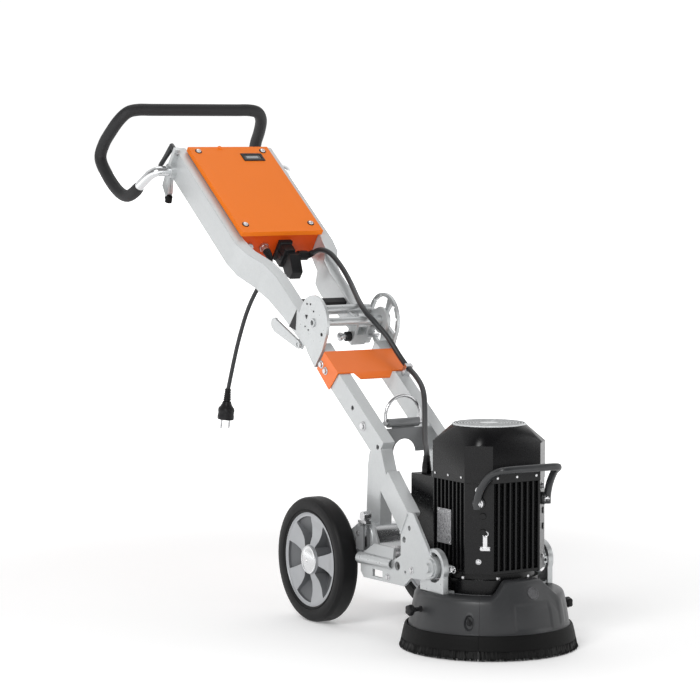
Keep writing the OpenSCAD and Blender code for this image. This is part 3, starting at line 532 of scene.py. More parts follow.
def make_plug():
    """Round two-pin plug: ribbed neck, grip body with finger flats, contact face and pins."""
    place = Matrix.Translation(CORD_ROUTE[-1]) @ Matrix.Rotation(math.radians(3), 4, "Y") \
        @ Matrix.Rotation(math.radians(5), 4, "X")
    work = Builder()
    neck = [(5.0, 3), (6.4, 2)]
    for i in range(6):
        z, wide, slim = -4 * i, 6.8 + 0.35 * i, 5.8 + 0.3 * i
        neck += [(wide, z), (wide, z - 1.8), (slim, z - 2.4), (slim, z - 3.6)]
    body = [(9.5, -25), (11.5, -31), (14.5, -36), (17.6, -39), (18.8, -42), (19, -46), (18.2, -49),
            (18.2, -53), (19, -56), (19, -62), (18.3, -64), (16, -64), (15.4, -62.6), (15.2, -56),
            (0, -56)]

    def flats(a):
        return 1 - 0.07 * step(0.55, 0.95, abs(math.cos(a)))

    work.lathe([(0, 3.2)] + neck, place, 32)
    work.lathe([(0, -23)] + body, place, 48, shape=flats)
    plug = work.make("plug_body", "upper_frame", "black_plastic", ["mains_plug"])
    pins = Builder()
    for x in (-9.5, 9.5):
        pins.lathe([(0, -55), (2.4, -55), (2.4, -81.5), (2.0, -83.2), (1.0, -84), (0, -84)],
                   place @ Matrix.Translation((x, 0, 0)), 20)
    for y in (-14.2, 14.2):
        pins.block(-3, 3, min(y, y * 0.93), max(y, y * 0.93), -63.6, -56.5, place)
    return plug, pins.make("plug_pins", "upper_frame", "steel")


def make_leads():
    """The motor lead in its two stretches, each a tube laid along its route across a joint, with a boot
    on each.
    """
    spans = [("motor_lead_upper", LEAD_UPPER_ROUTE, "lead_upper", "upper_frame", "chassis", 14),
             ("motor_lead_lower", LEAD_LOWER_ROUTE, "lead_lower", "chassis", "head", 5)]
    for name, route, node, first, second, still in spans:
        work = Builder()
        work.tube(smooth(route, 8), LEAD_D / 2, 22)
        lead = work.make(name, None, "cord", [node])
        for modifier in list(lead.modifiers):
            lead.modifiers.remove(modifier)
        lead.data.polygons.foreach_set("use_smooth", [True] * len(lead.data.polygons))
        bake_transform(lead)
    make_boot("lead_boot_upper", smooth(LEAD_UPPER_ROUTE, 8), 24, 8.0, LEAD_D / 2 + 0.7, "upper_frame")
    make_boot("lead_boot_lower", smooth(LEAD_LOWER_ROUTE[::-1], 8), 26, 8.4, LEAD_D / 2 + 0.7, "head")


# ---- handle ----

# First point of the finely drawn handle that is under the foam, and the foam's rounded end radii
GRIP_START = 32
GRIP_ENDS = (GRIP_R - 1.6, GRIP_R - 0.5, GRIP_R - 0.1)


def make_handle():
    """Bent chrome bar with a foam sleeve over its top."""
    tip = [(98, 1040, 892), (112, 1040, 892)]
    half = smooth(HANDLE_HALF, 6)
    bar = Builder()
    bar.tube(both_sides(tip + half), HANDLE_R, 28)
    bar.make("handle_bar", "handle", "chrome_tube", ["handle_tube"])
    whole = both_sides(half[GRIP_START:])
    radii = [GRIP_R] * len(whole)
    for i, r in enumerate(GRIP_ENDS):
        radii[i] = radii[-1 - i] = r
    foam = Builder()
    foam.tube(whole, radii, 30, inner=HANDLE_R + 0.05)
    foam.make("handle_foam", "handle", "grip", ["handle_grip"])


def make_clamp_lever():
    """Moulded clamping lever: round barrel with a domed cap and a tapering paddle."""
    place = ON_SLOPE @ Matrix.Translation((-127, 621, -29))
    along = place @ Matrix.Rotation(math.radians(-90), 4, "X")
    work = Builder()
    work.lathe([(0, 0.4), (5.0, 0.4), (5.6, 1.2), (5.6, 19), (5.2, 20.6), (3.8, 21.4), (0, 21.7)],
               along, 36)
    rows = [(0, 5.6, 5.2), (-6, 6.6, 5.2), (-14, 6.1, 4.8), (-26, 5.4, 4.2), (-38, 5.2, 3.8),
            (-48, 5.4, 3.8), (-54, 5.0, 3.4), (-57.2, 3.4, 2.2)]
    tilt = place @ Matrix.Translation((0, 16, 0)) @ Matrix.Rotation(math.radians(14), 4, "Y")
    points = []
    sides = 24
    for z, wide, thick in rows:
        for k in range(sides):
            a = 2 * math.pi * k / sides
            c, s = math.cos(a), math.sin(a)
            x, y = math.copysign(abs(c) ** 0.7, c), math.copysign(abs(s) ** 0.7, s)
            points.append((wide * x, thick * y, z))
    work.add(points, capped_tube(len(rows), sides), tilt)
    work.make("clamp_handle", "clamp_lever", "handle_grey", ["clamp_lever"])
    screw = Builder()
    screw.lathe([(0, -15), (2.95, -15), (2.95, 5), (0, 5)], along, 24)
    screw.prism(hexagon(5), -15, -10.4, along)
    screw.make("clamp_screw", "clamp_lever", "steel", bevel=0.4)


def round_head(low, r, edge, top_r, top):
    """Lathe profile of a round head with a chamfered top."""
    return [(0, low), (r, low), (r, edge), (top_r, top), (0, top)]


def full_turn(count):
    """Angles of a closed ring, with the first one again at the end."""
    return [2 * math.pi * k / count for k in range(count + 1)]


def hexagon(radius):
    return [(radius * math.cos(t), radius * math.sin(t)) for t in full_turn(6)[:-1]]


# ---- wheels ----

TYRE_PROFILE = [
    (RIM_R, 18.6), (96, 20.2), (97.6, 20.6), (98.4, 19.4), (100, 19.2), (101.2, 20.7), (104, 21.3),
    (108, TYRE_HALF), (113.4, TYRE_HALF), (114.2, 21.3), (120.2, 20.5), (120.8, 20.3), (121.3, 19.8),
    (123.6, 16.4), (124.0, 15.6), (124.3, 14.8), (WHEEL_R, 11), (WHEEL_R, 10.6), (WHEEL_R, 0.5),
]


SPOKE_GAP = 72
SPOKE_PHASE = -18
SPOKE_HALF = 17.25
RIM_CELLS = 240
RIM_FACE = 17.0
POCKET_IN = 31
POCKET_OUT = 86
POCKET_LOW = -14.0
POCKET_RISE = 25.0


def in_spoke(k):
    """Whether the radial line k of the rim lies on one of its five flared spokes."""
    half = SPOKE_GAP / 2
    off = (360 * k / RIM_CELLS - SPOKE_PHASE + half) % SPOKE_GAP - half
    return abs(off) < SPOKE_HALF


def rim_height(r, k):
    """Height of the rim's outer face: raised hub and ring, deep pockets that rise outward."""
    t = (r - POCKET_IN) / (POCKET_OUT - POCKET_IN)
    if in_spoke(k) or t < 0 or t > 1:
        return RIM_FACE - 4.5 * step(0.0, 0.35, t) + 4.0 * step(0.6, 1.0, t)
    return POCKET_LOW + POCKET_RISE * t


def make_rim(side, place, body):
    """Five-spoke disc on a grid of radii and radial lines, its pockets in a darker colour that is
    painted shade for their depth.
    """
    radii = [26, 28.5, POCKET_IN - 0.6, POCKET_IN, 34, 40, 46, 52, 58, 64, 70, 76, 82, POCKET_OUT,
             POCKET_OUT + 0.6, 88, 90.5]
    back = [(91.6, 17.4), (92.6, 18.6), (RIM_R, 18.6), (RIM_R, -19), (90, -19), (88, -17), (26, -17),
            (26, -19), (13.2, -19), (13.2, 18), (22, 20.2), (25.2, 19.2)]
    points = []
    for r in radii:
        points += [(r, k, rim_height(r, k)) for k in range(RIM_CELLS)]
    for r, z in back:
        points += [(r, k, z) for k in range(RIM_CELLS)]
    turn = 2 * math.pi / RIM_CELLS
    rings = len(radii) + len(back)
    faces = tube_faces(0, rings, RIM_CELLS)
    last = (rings - 1) * RIM_CELLS
    faces += [(last + k, last + (k + 1) % RIM_CELLS, (k + 1) % RIM_CELLS, k) for k in range(RIM_CELLS)]
    work = Builder()
    work.add([(r * math.cos(turn * k), r * math.sin(turn * k), z) for r, k, z in points], faces, place)

    def in_pocket(j):
        r, k = points[j][:2]
        return POCKET_IN <= r <= POCKET_OUT and not in_spoke(k)

    front = (len(radii) - 1) * RIM_CELLS
    # Faces in the pockets take the darker colour, painted shade in the recesses
    work.kinds[:front] = [int(any(in_pocket(j) for j in face)) for face in faces[:front]]
    work.make("rim_disc_" + side, body, "rim", ["rim_" + side], finishes=["rim", "rim_pocket_shade"])


def make_wheel(side, sign):
    turn = Matrix.Rotation(math.radians(90 * sign), 4, "Y")
    place = Matrix.Translation((sign * TYRE_MID, *AXLE)) @ turn
    body = "wheel_" + side
    make_rim(side, place, body)
    profile = TYRE_PROFILE + [(r, -z) for r, z in reversed(TYRE_PROFILE)]
    tyre = Builder()
    tyre.lathe(profile, place, 144, closed=True)
    tyre.make("tyre_ring_" + side, body, "tyre", ["tyre_" + side])
    cap = Builder()
    cap.lathe([(0, 19.6), (26.6, 19.6), (27.8, 20.2), (28, 21.2), (27, 21.9), (25.2, 21.8),
               (24.2, 21.2), (22.6, 21.3), (20, 22.4), (12, 23.6), (4.4, 24.2), (4.0, 23.6),
               (0, 23.6)], place, 64)
    cap.make("hub_cap_" + side, body, "chrome_tube")


# ---- head covers ----

COVER_ROWS = [
    (110, 112.6), (110, 113.8), (124, 113.8), (131, 113), (135.5, 111.4), (139.2, 109.6),
    (141.8, 106.6), (143.4, 102.6), (144.8, 97), (146.1, 91), (147.3, 85), (148.4, 79), (149.4, 73),
    (150.4, 67), (151.3, 61), (152.1, 55), (152.8, 50), (153.3, 47.4), (155, 46.6), (155, 40.4),
    (154.6, 40),
]
NOSE_ROWS = [
    (97.5, 139.5), (97.5, 141.0), (100, 141.6), (108, 142), (114, 141.8), (118.6, 140.6),
    (122.4, 138), (125.4, 134.2), (128.4, 128.6), (131.4, 122.4), (134.4, 116), (137.6, 109.4),
    (140.2, 102.8), (144.4, 92), (147.4, 80), (150.2, 66), (152.2, 52), (153.3, 47.4), (155, 46.6),
    (155, 40.4), (154.6, 40),
]
COVER_WALL = 3.0
NOSE_HALF = 25.0
LATCH_ANGLE = -48.5
LATCH_Z = 68.0


def fine_rows(rows):
    """A smooth profile through the given (radius, height) rows."""
    return [(p[0], p[1]) for p in smooth([(r, z, 0) for r, z in rows], 3)]


FINE_COVER = fine_rows(COVER_ROWS)
FINE_NOSE = fine_rows(NOSE_ROWS)


def cover_loop(a):
    """Closed section of the moulded dust cover at azimuth a."""
    nose = 1 - step(NOSE_HALF - 8, NOSE_HALF + 8, abs(a))
    outer = []
    for (r0, z0), (r1, z1) in zip(FINE_COVER, FINE_NOSE):
        r, z = r0 + (r1 - r0) * nose, z0 + (z1 - z0) * nose
        panel = step(-16, -13, a) * (1 - step(16, 19, a)) * step(50, 53, z) * (1 - step(98, 101, z))
        corner = step(27, 30, a) * (1 - step(34, 38, a)) * step(50, 60, z) * (1 - step(96, 104, z))
        oval = math.hypot((a - LATCH_ANGLE) * 2.6 / 9.0, (z - LATCH_Z) / 14.5)
        latch = 1 - step(0.8, 1.0, oval)
        rim = math.exp(-((oval - 1.12) / 0.09) ** 2)
        outer.append((r - 1.8 * panel + 1.2 * corner - 5.0 * latch + 0.7 * rim, z))
    inner = []
    for i, (r, z) in enumerate(outer):
        before, after = outer[max(i - 1, 0)], outer[min(i + 1, len(outer) - 1)]
        dr, dz = after[0] - before[0], after[1] - before[1]
        size = max(math.hypot(dr, dz), 0.01)
        inner.append((r + dz / size * COVER_WALL, z - dr / size * COVER_WALL))
    return outer + inner[-3:3:-1] + [(outer[2][0], outer[2][1] - COVER_WALL)]


def make_covers():
    front = Builder()
    front.sector(cover_loop, -FRONT_ANGLE, FRONT_ANGLE, 164)
    front.make("front_shell", "front_cover", "grey_plastic", ["front_cover"])
    sides = Builder()
    sides.sector(cover_loop, -SIDE_ANGLE, -FRONT_ANGLE - SPLIT_GAP, 110)
    sides.sector(cover_loop, FRONT_ANGLE + SPLIT_GAP, SIDE_ANGLE, 110)
    sides.make("side_shells", "head", "grey_plastic", ["side_covers"])
    make_latch()
    make_badge()


def on_cover(a, r, z):
    """Point at azimuth a, radius r and height z, and the level direction out of it."""
    u = math.radians(a)
    return (r * math.sin(u), -r * math.cos(u), z), (math.sin(u), -math.cos(u), 0)


def make_latch():
    """Black toggle sunk in the oval recess of the left side cover."""
    work = Builder()
    point, out = on_cover(LATCH_ANGLE, 146.2, LATCH_Z)
    place = facing(point, out)
    work.lathe([(0, 0), (5.2, 0), (5.2, 1.8), (4.4, 2.6), (0, 2.8)], place, 32)
    up = place.inverted() @ Vector((point[0], point[1], point[2] + 1))
    turn = math.atan2(up.y, up.x)
    work.block(-1.9, 9.4, -2.1, 2.1, 2.0, 4.6, place @ Matrix.Rotation(turn + 0.25, 4, "Z"))
    work.make("cover_latch", "head", "black_plastic", bevel=0.7)


def make_badge():
    """Blank round boss on the nose of the front cover."""
    point, level = on_cover(4, 133.2, 118.5)
    out = (level[0] * 0.905, level[1] * 0.905, 0.425)
    work = Builder()
    work.lathe([(0, -2), (12.6, -2), (12.6, 0.7), (12.0, 1.2), (10.8, 1.2), (10.3, 0.6), (0, 0.75)],
               facing(point, out), 56)
    work.make("front_boss", "front_cover", "cast")


def skirt_loop(a):
    """Section of the rubber band that holds the bristles, the same at every azimuth."""
    return [(155.4, 46), (157.2, 46), (159, 45.4), (160.2, 43.2), (161.6, 38.6), (163.2, 32),
            (164.4, 26.4), (165.4, 21.6), (165.9, 19.4), (165.4, 18.6), (162.4, 18.6), (161.4, 21),
            (158.6, 33), (155.4, 37)]


def brush_loop(a):
    """Dense core of the brush, behind the outer bristles."""
    wave = 0.35 * math.sin(a * 9.7) + 0.3 * math.sin(a * 23.1)
    return [(162.6, 20), (164.6, 20), (168.2 + wave, 4.6), (165 + wave, 4.2)]


def make_skirt(name, body, node, a0, a1):
    """Rubber band and brush of one stretch of the skirt, from azimuth a0 to a1."""
    band = Builder()
    band.sector(skirt_loop, a0, a1, max(24, round((a1 - a0) / 1.5)))
    band.make(name + "_band", body, "rubber", [node])
    brush = Builder()
    brush.sector(brush_loop, a0, a1, round(a1 - a0))
    draw = random.Random(7 if body == "head" else 3)
    count = round((a1 - a0) * 9)
    for i in range(count):
        a = a0 + 0.25 + (a1 - a0 - 0.5) * (i + draw.uniform(-0.4, 0.4)) / count
        a = min(a1 - 0.2, max(a0 + 0.2, a))
        top_r, low_r = draw.uniform(163.2, 165.2), draw.uniform(164.5, 170.6)
        low_z = draw.uniform(0.45, 2.2)
        sway = draw.uniform(-0.5, 0.5)
        add_bristle(brush, a, sway, top_r, low_r, low_z, draw.uniform(0.34, 0.6))
    brush.make(name + "_brush", body, "rubber", finishes=["bristle"])


def add_bristle(work, a, sway, top_r, low_r, low_z, width):
    """One tuft: a slim three-sided strand that flares outward to the floor."""
    points = []
    for t in (0.0, 0.55, 1.0):
        u = math.radians(a + sway * t * t)
        r = top_r + (low_r - top_r) * t ** 1.3
        z = 20 + (low_z - 20) * t
        w = width * (1 - 0.35 * t)
        out, along = Vector((math.sin(u), -math.cos(u), 0)), Vector((math.cos(u), math.sin(u), 0))
        centre = out * r + Vector((0, 0, z))
        inner = centre - out * w * 0.5
        points += [centre + out * w, inner + along * w, inner - along * w]
    work.add(points, capped_tube(3, 3))


def make_cover_knob(side, sign, y, z):
    """Five-lobed knob on its threaded stem."""
    def lobes(a):
        return 1 + 0.09 * math.cos(5 * a)

    place = facing((0, y, z), (sign, 0, 0))
    work = Builder()
    work.lathe([(0, 169), (6.5, 169), (7.4, 170.2), (9.4, 172.2), (10.1, 174), (10.1, 179), (9.4, 181),
                (7, 182), (0, 182)], place, 60, shape=lobes)
    work.lathe([(0, 152), (6.2, 152), (6.2, 154.5), (4, 155.4), (4, 169.5), (0, 169.5)], place, 30)
    work.make("cover_knob_" + side, "knob_" + side, "black_plastic", ["knob_" + side])


# ---- motor ----

def make_fan_guard():
    """Perforated guard disc on top of the cowl."""
    work = Builder()
    z = COWL_TOP
    work.lathe([(70.5, z - 0.4), (70.5, z + 1.2), (69.6, z + 1.8), (67, z + 1.8), (67, z - 0.4)],
               None, 96, closed=True)
    work.lathe([(17.5, z - 0.4), (17.5, z + 1.8), (0, z + 1.8), (0, z - 0.4), (17.5, z - 0.4)],
               None, 48)
    for ring in range(1, 9):
        r = 17.5 + ring * 5.6
        work.lathe([(r, z - 0.2), (r, z + 1.5), (r + 2.1, z + 1.5), (r + 2.1, z - 0.2)],
                   None, 72, closed=True)
    for k in range(24):
        spoke = Matrix.Rotation(math.pi * k / 12, 4, "Z")
        work.block(16, 68.5, -1.1, 1.1, z - 0.3, z + 1.2, spoke)
    work.make("fan_guard", "head", "zinc_plate")


def make_motor_details():
    """Screws and cable bosses on the motor's corner pads, flange bolts and cowl screws."""
    bright, dark = Builder(), Builder()
    for turn in (45, 135, 225, 315):
        u = math.radians(turn)
        out = (math.cos(u), math.sin(u), 0)
        for z, r in ((176, 3.8), (310, 5.2)):
            place = facing((out[0] * MOTOR_PAD, out[1] * MOTOR_PAD, z), out)
            bright.lathe([(0, -1), (r + 1.4, -1), (r + 1.4, 0.8), (r, 1.0), (r, 3.0), (r - 1, 3.8),
                          (0, 3.8)], place, 24)
        side = Vector((-out[1], out[0], 0))
        for z in (232, 262):
            centre = Vector((out[0] * MOTOR_PAD, out[1] * MOTOR_PAD, z))
            dark.lathe(round_head(-1, 6.5, 1.2, 5.4, 2.0),
                       facing(centre + side * 8, out), 24)
    for k in range(8):
        u = math.radians(22.5 + 45 * k)
        place = Matrix.Translation((86 * math.cos(u), 86 * math.sin(u), 0))
        bright.prism(hexagon(4.4), 140, 144.5, place)
    for x in (-44, 0, 44):
        for face in range(4):
            turn = Matrix.Rotation(math.pi / 2 * face, 4, "Z")
            bright.lathe(round_head(-0.5, 2.6, 1.4, 1.8, 2.0),
                         turn @ facing((x, -MOTOR_FLAT - 1, 333), (0, -1, 0)), 20)
    bright.make("motor_screws", "head", "steel")
    dark.make("motor_bosses", "head", "motor_black")
    make_motor_bracket()
    make_data_plate()


def make_motor_bracket():
    """Small bright eye bracket on the front left corner pad."""
    u = math.radians(232)
    out = Vector((math.cos(u), math.sin(u), 0))
    place = facing(out * (MOTOR_PAD - 3) + Vector((0, 0, 202)), out)
    up = (place.inverted().to_3x3() @ Vector((0, 0, 1))).normalized()
    frame_turn = place @ Matrix.Rotation(math.atan2(up.y, up.x) - math.pi / 2, 4, "Z")
    work = Builder()
    work.block(-4.5, 4.5, 0, 24, 0, 4.2, frame_turn)
    work.block(-9, 9, -5, 3, 0, 5, frame_turn)
    eye = [(5.0 * math.cos(t), 27 + 5.0 * math.sin(t), 3.4) for t in full_turn(24)]
    work.tube(eye, 1.7, 12, frame_turn)
    for x in (-7, 6):
        work.prism(hexagon(3.4), 4.5, 8, frame_turn @ Matrix.Translation((x, -1, 0)))
    work.make("motor_bracket", "head", "steel", bevel=0.5)


def make_data_plate():
    """Blank riveted plate across the fins on the motor's left face."""
    x = -MOTOR_FLAT - 0.2
    work = Builder()
    work.block(x - 1.0, x + 0.6, -8, 38, 202, 268)
    work.kind = 1
    for y in (-4, 34):
        for z in (206, 264):
            rivet = facing((x - 1.0, y, z), (-1, 0, 0))
            work.lathe([(0, 0), (2.0, 0), (1.6, 1.1), (0, 1.4)], rivet, 16)
    work.make("data_plate", "head", "steel", finishes=["label", "steel"], bevel=0.3)


def make_front_handle():
    """Lifting bar in front of the motor, with its two feet and bolts."""
    work = Builder()
    work.tube(both_sides(smooth(LIFT_ROUTE, 8)), 7, 24)
    work.make("front_bar", "head", "handle_grey", ["front_handle"])
    feet, bolts = Builder(), Builder()
    for turn in (225, 315):
        u = math.radians(turn)
        out = Vector((math.cos(u), math.sin(u), 0))
        place = facing(out * MOTOR_PAD + Vector((0, 0, 286)), out)
        feet.lathe(round_head(0, 12, 4.6, 11, 6), place, 40)
        bolts.lathe([(0, 5.5), (9.4, 5.5), (9.4, 7.2), (0, 7.2)], place, 32)
        bolts.prism(hexagon(7.2), 7.0, 13.4, place)
        bolts.lathe([(0, 13), (4, 13), (3.6, 15), (0, 15)], place, 24)
    feet.make("front_bar_feet", "head", "handle_grey", bevel=0.4)
    bolts.make("front_bar_bolts", "head", "steel", bevel=0.6)


# ---- control box ----

def make_lid_screws():
    """Socket screws in black washers at the corners of the lid."""
    heads, wells = Builder(), Builder()
    for x in (-80, 80):
        for s in (26, 284):
            place = ON_SLOPE @ Matrix.Translation((x, BOX_S0 + s, LID_N))
            wells.lathe([(3, -0.4), (7.6, -0.4), (7.6, 0.8), (6.8, 1.1), (3, 1.1)],
                        place, 40, closed=True)
            heads.lathe([(0, 0.6), (5.8, 0.6), (5.8, 1.6), (4.9, 3.0), (3.0, 3.7), (1.4, 3.8),
                         (1.2, 2.6), (0, 2.6)], place, 36)
            heads.lathe([(0, -8), (2.9, -8), (2.9, 0.8), (0, 0.8)], place, 24)
    heads.make("lid_screw_heads", "upper_frame", "steel", ["lid_screws"])
    wells.make("lid_washers", "upper_frame", "black_plastic")


def make_display():
    """Small display: bezel, glass and a pale screen with nothing on it."""
    s0, n = BOX_S0 + 248, LID_N
    bezel = Builder()
    outer = [(19, s0), (71, s0), (71, s0 + 26), (19, s0 + 26)]
    inner = [(25, s0 + 6), (65, s0 + 6), (65, s0 + 20), (25, s0 + 20)]
    points = [(x, y, n - 0.2) for x, y in outer] + [(x, y, n + 1.8) for x, y in outer]
    points += [(x, y, n + 1.8) for x, y in inner] + [(x, y, n - 0.2) for x, y in inner]
    faces = []
    for a, b in ((0, 4), (4, 8), (8, 12), (12, 0)):
        faces += [(a + k, a + (k + 1) % 4, b + (k + 1) % 4, b + k) for k in range(4)]
    bezel.add(points, faces, ON_SLOPE)
    bezel.make("display_bezel", "upper_frame", "black_plastic", ["display"], bevel=0.5)
    glass = Builder()
    glass.block(23, 67, s0 + 4, s0 + 22, n - 1.2, n + 0.7, ON_SLOPE)
    glass.make("display_glass", "upper_frame", "display", bevel=0.3)
    lcd = Builder()
    lcd.block(29, 58, s0 + 9, s0 + 17, n + 0.5, n + 0.95, ON_SLOPE)
    lcd.make("display_lcd", "upper_frame", "display", finishes=["lcd"], bevel=0.1)


def make_lid_plug():
    """Round plug at the upper end of the lid."""
    work = Builder()
    work.lathe([(0, -3), (5.2, -3), (5.2, 1.4), (4.6, 2.2), (0, 2.4)],
               ON_SLOPE @ Matrix.Translation((-22, BOX_S0 + BOX_LEN - 4, LID_N)), 32)
    work.make("lid_plug", "upper_frame", "orange_lid")


def make_button_rings():
    """Bright rings round the buttons and the speed knob on the end of the box."""
    work = Builder()
    turn = Matrix.Rotation(-math.pi / 2, 4, "X")
    for x, hole in ((-58, 18.5), (-14, 11.4), (54, 13.5)):
        place = ON_SLOPE @ Matrix.Translation((x, BOX_S0 + BOX_LEN - 3, -66)) @ turn
        outer = hole + 2.4
        work.lathe([(hole, 0), (hole, 1.6), (outer - 1.4, 1.6), (outer, 0.9), (outer, 0)],
                   place, 48, closed=True)
    work.make("button_rings", "upper_frame", "steel")


# ---- frame details ----

WELD_R = 2.0


def weld(seams):
    """Rippled weld bead along each seam."""
    work = Builder()
    for seam in seams:
        path = smooth(seam, 14 if len(seam) < 5 else 3)
        radii = [WELD_R + 0.35 * math.cos(i * 2.1) for i in range(len(path))]
        work.tube(path, radii, 10)
    return work


def make_welds():
    """Beads where side plates, rails and tubes meet, and under the head's yoke plates."""
    seams, yoke_seams = [], []
    for sign in (-1, 1):
        seams.append([(sign * 132.6, y, z) for y, z in ((104, 213), (92, 233), (80, 252))])
        seams.append([(sign * 106.4, 272 + 25.5 * math.cos(t), 184 + 25.5 * math.sin(t))
                      for t in full_turn(24)])
        yoke_seams.append([(sign * 113.7, y, 118.6) for y in (-30, 5, 40)])
    weld(seams).make("weld_beads", "chassis", "zinc_frame")
    weld(yoke_seams).make("yoke_weld_beads", "head", "zinc_frame")


def make_torsion_sleeve():
    """Bright tube between the carrier plates."""
    work = Builder()
    place = facing((-99.6, 272, 184), (1, 0, 0))
    work.lathe([(25.1, 0), (25.5, 0), (25.5, 199.2), (25.1, 199.2)], place, 72, closed=True)
    work.make("torsion_sleeve", "chassis", "chrome_tube")


def make_plunger():
    """Turned latch plunger: ball knob, black collar, stem, stop ring and tip."""
    place = ON_SLOPE @ facing((0, 0, -41), (1, 0, 0))
    work = Builder()
    work.lathe([(0, -12), (5.5, -11.9), (8.2, -10.6), (9, -8.4), (9, -5.6), (8.2, -3.4), (6, -2.2),
                (6, 53.6), (5.4, 54), (4, 54), (4, 86), (3.2, 87), (0, 87)], place, 48)
    work.lathe([(5.9, 30.5), (8.2, 30.5), (8.5, 31), (8.5, 37.5), (8.2, 38), (5.9, 38)],
               place, 48, closed=True)
    work.make("latch_plunger", "lock_plunger", "steel", ["lock_plunger"])
    collar = Builder()
    collar.lathe([(6.1, 5.4), (9.6, 5.4), (10.2, 6.2), (10.2, 15.9), (6.1, 15.9)],
                 place, 48, closed=True)
    collar.make("plunger_boot", "upper_frame", "black_plastic")


def make_clamp_feet():
    """Black rubber buffers under the handle clamps."""
    work = Builder()
    for x in (-130.5, -124):
        work.block(x - 2.4, x + 2.4, 578, 592, -136, -122, ON_SLOPE)
    place = ON_SLOPE @ facing((-127, 583, -131), (0, -0.35, -1))
    work.lathe([(0, -4), (7.4, -4), (7.8, 0), (7.8, 7), (6.6, 9), (0, 9.4)], place, 36)
    work.make("clamp_foot", "upper_frame", "rubber", bevel=0.8)


def make_rail_shade_sheet():
    """Thin dark sheet on the left upper rail beside the hinge, painted shade for the rail's open end.
    """
    sideways = Matrix(((0, 0, -1, 0), (1, 0, 0, 0), (0, 1, 0, 0), (0, 0, 0, 1)))
    work = Builder()
    work.prism([(74.6, -27.9), (77.7, -75.2), (53.4, -64.3)], 80.1, 80.7, ON_SLOPE @ sideways)
    work.make("rail_shade_sheet", "upper_frame", "black_plastic")


def make_rolled_flanges():
    """Rolled sheet edge along the top of each lower side plate."""
    work = Builder()
    rows = [(252, 147, 11.6), (226, 147.5, 11.4), (196, 148, 11), (160, 148.6, 10.4), (134, 149, 9.8)]
    for sign in (-1, 1):
        work.tube([(sign * 131, y, z) for y, z, r in rows], [r for y, z, r in rows], 40, inner=8.2)
    work.make("rolled_flanges", "chassis", "zinc_plate")


def make_fold_marks():
    """Stamped setting marks and rivets on the left fold disc."""
    work = Builder()
    x = -87.1
    for s, n, r in ((41, 16, 2.0), (30, 24, 2.0), (12, 20, 2.0), (-40, 2, 3.6), (20, -26, 1.6),
                    (6, -24, 1.6)):
        place = ON_SLOPE @ facing((x + 0.4, s, n), (-1, 0, 0))
        work.lathe(round_head(0, r, 0.5, r * 0.8, 0.9), place, 20)
    tri = [(24.5, -10.8), (33.9, -6.6), (25.9, -0.6)]
    points = [(x + 0.5, s, n) for s, n in tri] + [(x - 0.1, s, n) for s, n in tri]
    work.add(points, [(0, 1, 2), (3, 4, 5), (0, 1, 4, 3), (1, 2, 5, 4), (2, 0, 3, 5)], ON_SLOPE)
    work.make("fold_marks", "chassis", "steel", finishes=["black_plastic"])


def make_bolt_washers():
    """Washers under bolt heads on both sides of the frame."""
    work = Builder()
    for sign in (-1, 1):
        out = (sign, 0, 0)
        for s in (-72, -92):
            place = ON_SLOPE @ facing((sign * 83.2, s, -50), out)
            work.lathe(round_head(0, 8.2, 1.3, 7.6, 1.6), place, 32)
        place = ON_SLOPE @ facing((sign * 79.8, -262, -48), out)
        work.lathe(round_head(0, 9.4, 1.5, 8.8, 1.9), place, 32)
        for y, z in ((66, 146), (150, 122)):
            place = facing((sign * 131.8, y, z), out)
            work.lathe(round_head(0, 7.2, 1.2, 6.6, 1.5), place, 28)
    work.make("bolt_washers", "chassis", "steel")


# ---- stage ----

FLOOR_HALF = 60.0
WHITE_ROOM = 1.05
BEHIND_MACHINE = (0.5216, 0.8496, 0.0)
# Soft ramps: a range of metres from the machine, of the share of BEHIND_MACHINE in a
# direction or of its tilt, and the brightness at both ends of that range
FLOOR_GLOW = ((0.7, 3.0), (0.22, 1.0))
ROOM_FADE = ((-0.5, 0.75), (0.16, WHITE_ROOM))
HORIZON_FADE = ((0.05, 0.25), (WHITE_ROOM, 0.0))


def make_stage():
    """Plain pale floor and soft studio light."""
    low = min(CAD_BOX[0][2], CAD_BOX[1][2])
    corners = [(-FLOOR_HALF, -FLOOR_HALF, low), (FLOOR_HALF, -FLOOR_HALF, low),
               (FLOOR_HALF, FLOOR_HALF, low), (-FLOOR_HALF, FLOOR_HALF, low)]
    mesh = bpy.data.meshes.new("floor")
    mesh.from_pydata(corners, [], [(0, 1, 2, 3)])
    floor = add_object("floor", mesh)
    paper = finish("paper", (0.88, 0.88, 0.88), 0.8, shade=0.01, cloud=2, grain=40, specular=0.1)
    brighten_far(paper)
    mesh.materials.append(paper)
    make_world()
    add_light("key", (-2.9, -2.3, 2.6), (0, 0, 0.5), 1.5, 86)
    add_light("fill", (2.6, -2.4, 1.6), (0, -0.1, 0.4), 1.2, 12)
    add_light("top", (0.4, 1.0, 3.6), (0, 0, 0.5), 2.2, 14)


def soft_ramp(tree, source, given, wanted):
    """Smooth step that takes the given range of values to the wanted one."""
    inputs = {"From Min": given[0], "From Max": given[1], "To Min": wanted[0], "To Max": wanted[1],
              "Value": source}
    ramp = add_node(tree, "ShaderNodeMapRange", inputs, interpolation_type="SMOOTHSTEP")
    return ramp.outputs["Result"]


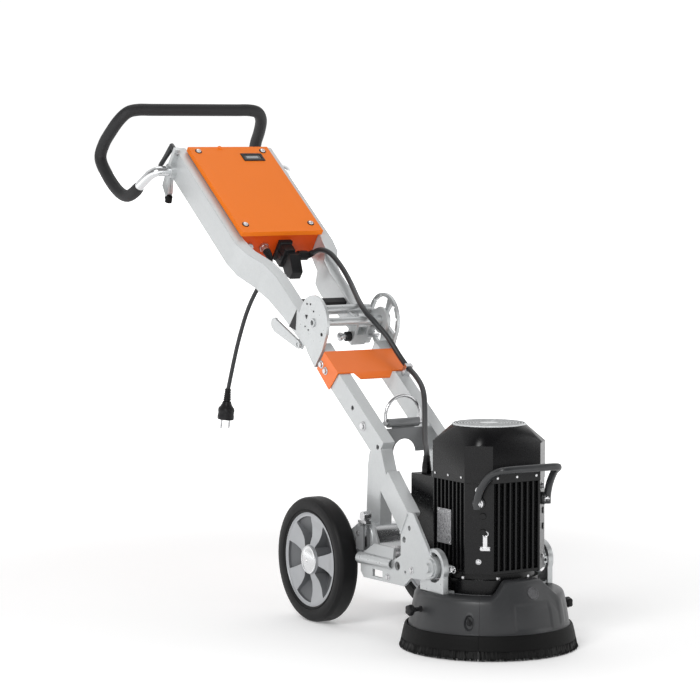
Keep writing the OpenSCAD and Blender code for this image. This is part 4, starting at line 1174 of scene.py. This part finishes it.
def brighten_far(paper):
    """Lets the floor run out into white away from the machine."""
    tree = paper.node_tree
    where = add_node(tree, "ShaderNodeTexCoord", {}).outputs["Object"]
    away = add_node(tree, "ShaderNodeVectorMath", {0: where}, operation="LENGTH").outputs["Value"]
    glow = {"Emission Color": (1, 1, 1, 1), "Emission Strength": soft_ramp(tree, away, *FLOOR_GLOW)}
    set_inputs(tree, tree.nodes["Principled BSDF"], glow)


def make_world():
    """White studio behind the machine, fading to a dim room in front with a white horizon."""
    world = bpy.data.worlds.new("studio")
    bpy.context.scene.world = world
    world.use_nodes = True
    tree = world.node_tree
    where = add_node(tree, "ShaderNodeTexCoord", {}).outputs["Generated"]
    pair = {0: where, 1: BEHIND_MACHINE}
    along = add_node(tree, "ShaderNodeVectorMath", pair, operation="DOT_PRODUCT")
    room = soft_ramp(tree, along.outputs["Value"], *ROOM_FADE)
    parts = add_node(tree, "ShaderNodeSeparateXYZ", {0: where})
    tilt = add_node(tree, "ShaderNodeMath", {0: parts.outputs["Z"]}, operation="ABSOLUTE")
    horizon = soft_ramp(tree, tilt.outputs[0], *HORIZON_FADE)
    brighter = add_node(tree, "ShaderNodeMath", {0: room, 1: horizon}, operation="MAXIMUM")
    sky = {"Color": (1, 1, 1, 1), "Strength": brighter.outputs[0]}
    set_inputs(tree, tree.nodes["Background"], sky)


def add_light(name, place, target, size, power):
    light = bpy.data.lights.new(name, "AREA")
    light.energy = power
    light.size = size
    ob = add_object(name, light)
    ob.location = place
    ob.rotation_euler = (Vector(target) - Vector(place)).to_track_quat("-Z", "Y").to_euler()


# ---- the build ----

make_camera()
dress_cad()
make_mains_cable()
make_leads()
make_handle()
make_clamp_lever()
make_wheel("left", -1)
make_wheel("right", 1)
make_covers()
make_skirt("front_skirt", "front_cover", "front_skirt", -FRONT_ANGLE, FRONT_ANGLE)
make_skirt("rear_skirt", "head", "rear_skirt", FRONT_ANGLE + SPLIT_GAP, 360 - FRONT_ANGLE - SPLIT_GAP)
make_cover_knob("left", -1, 2, 84)
make_cover_knob("right", 1, -14, 69)
make_fan_guard()
make_motor_details()
make_front_handle()
make_lid_screws()
make_display()
make_lid_plug()
make_button_rings()
make_welds()
make_torsion_sleeve()
make_plunger()
make_clamp_feet()
# Painted shade in the open end of the left upper rail
make_rail_shade_sheet()
make_rolled_flanges()
make_fold_marks()
make_bolt_washers()
make_stage()
bpy.context.scene.view_settings.view_transform = "Standard"
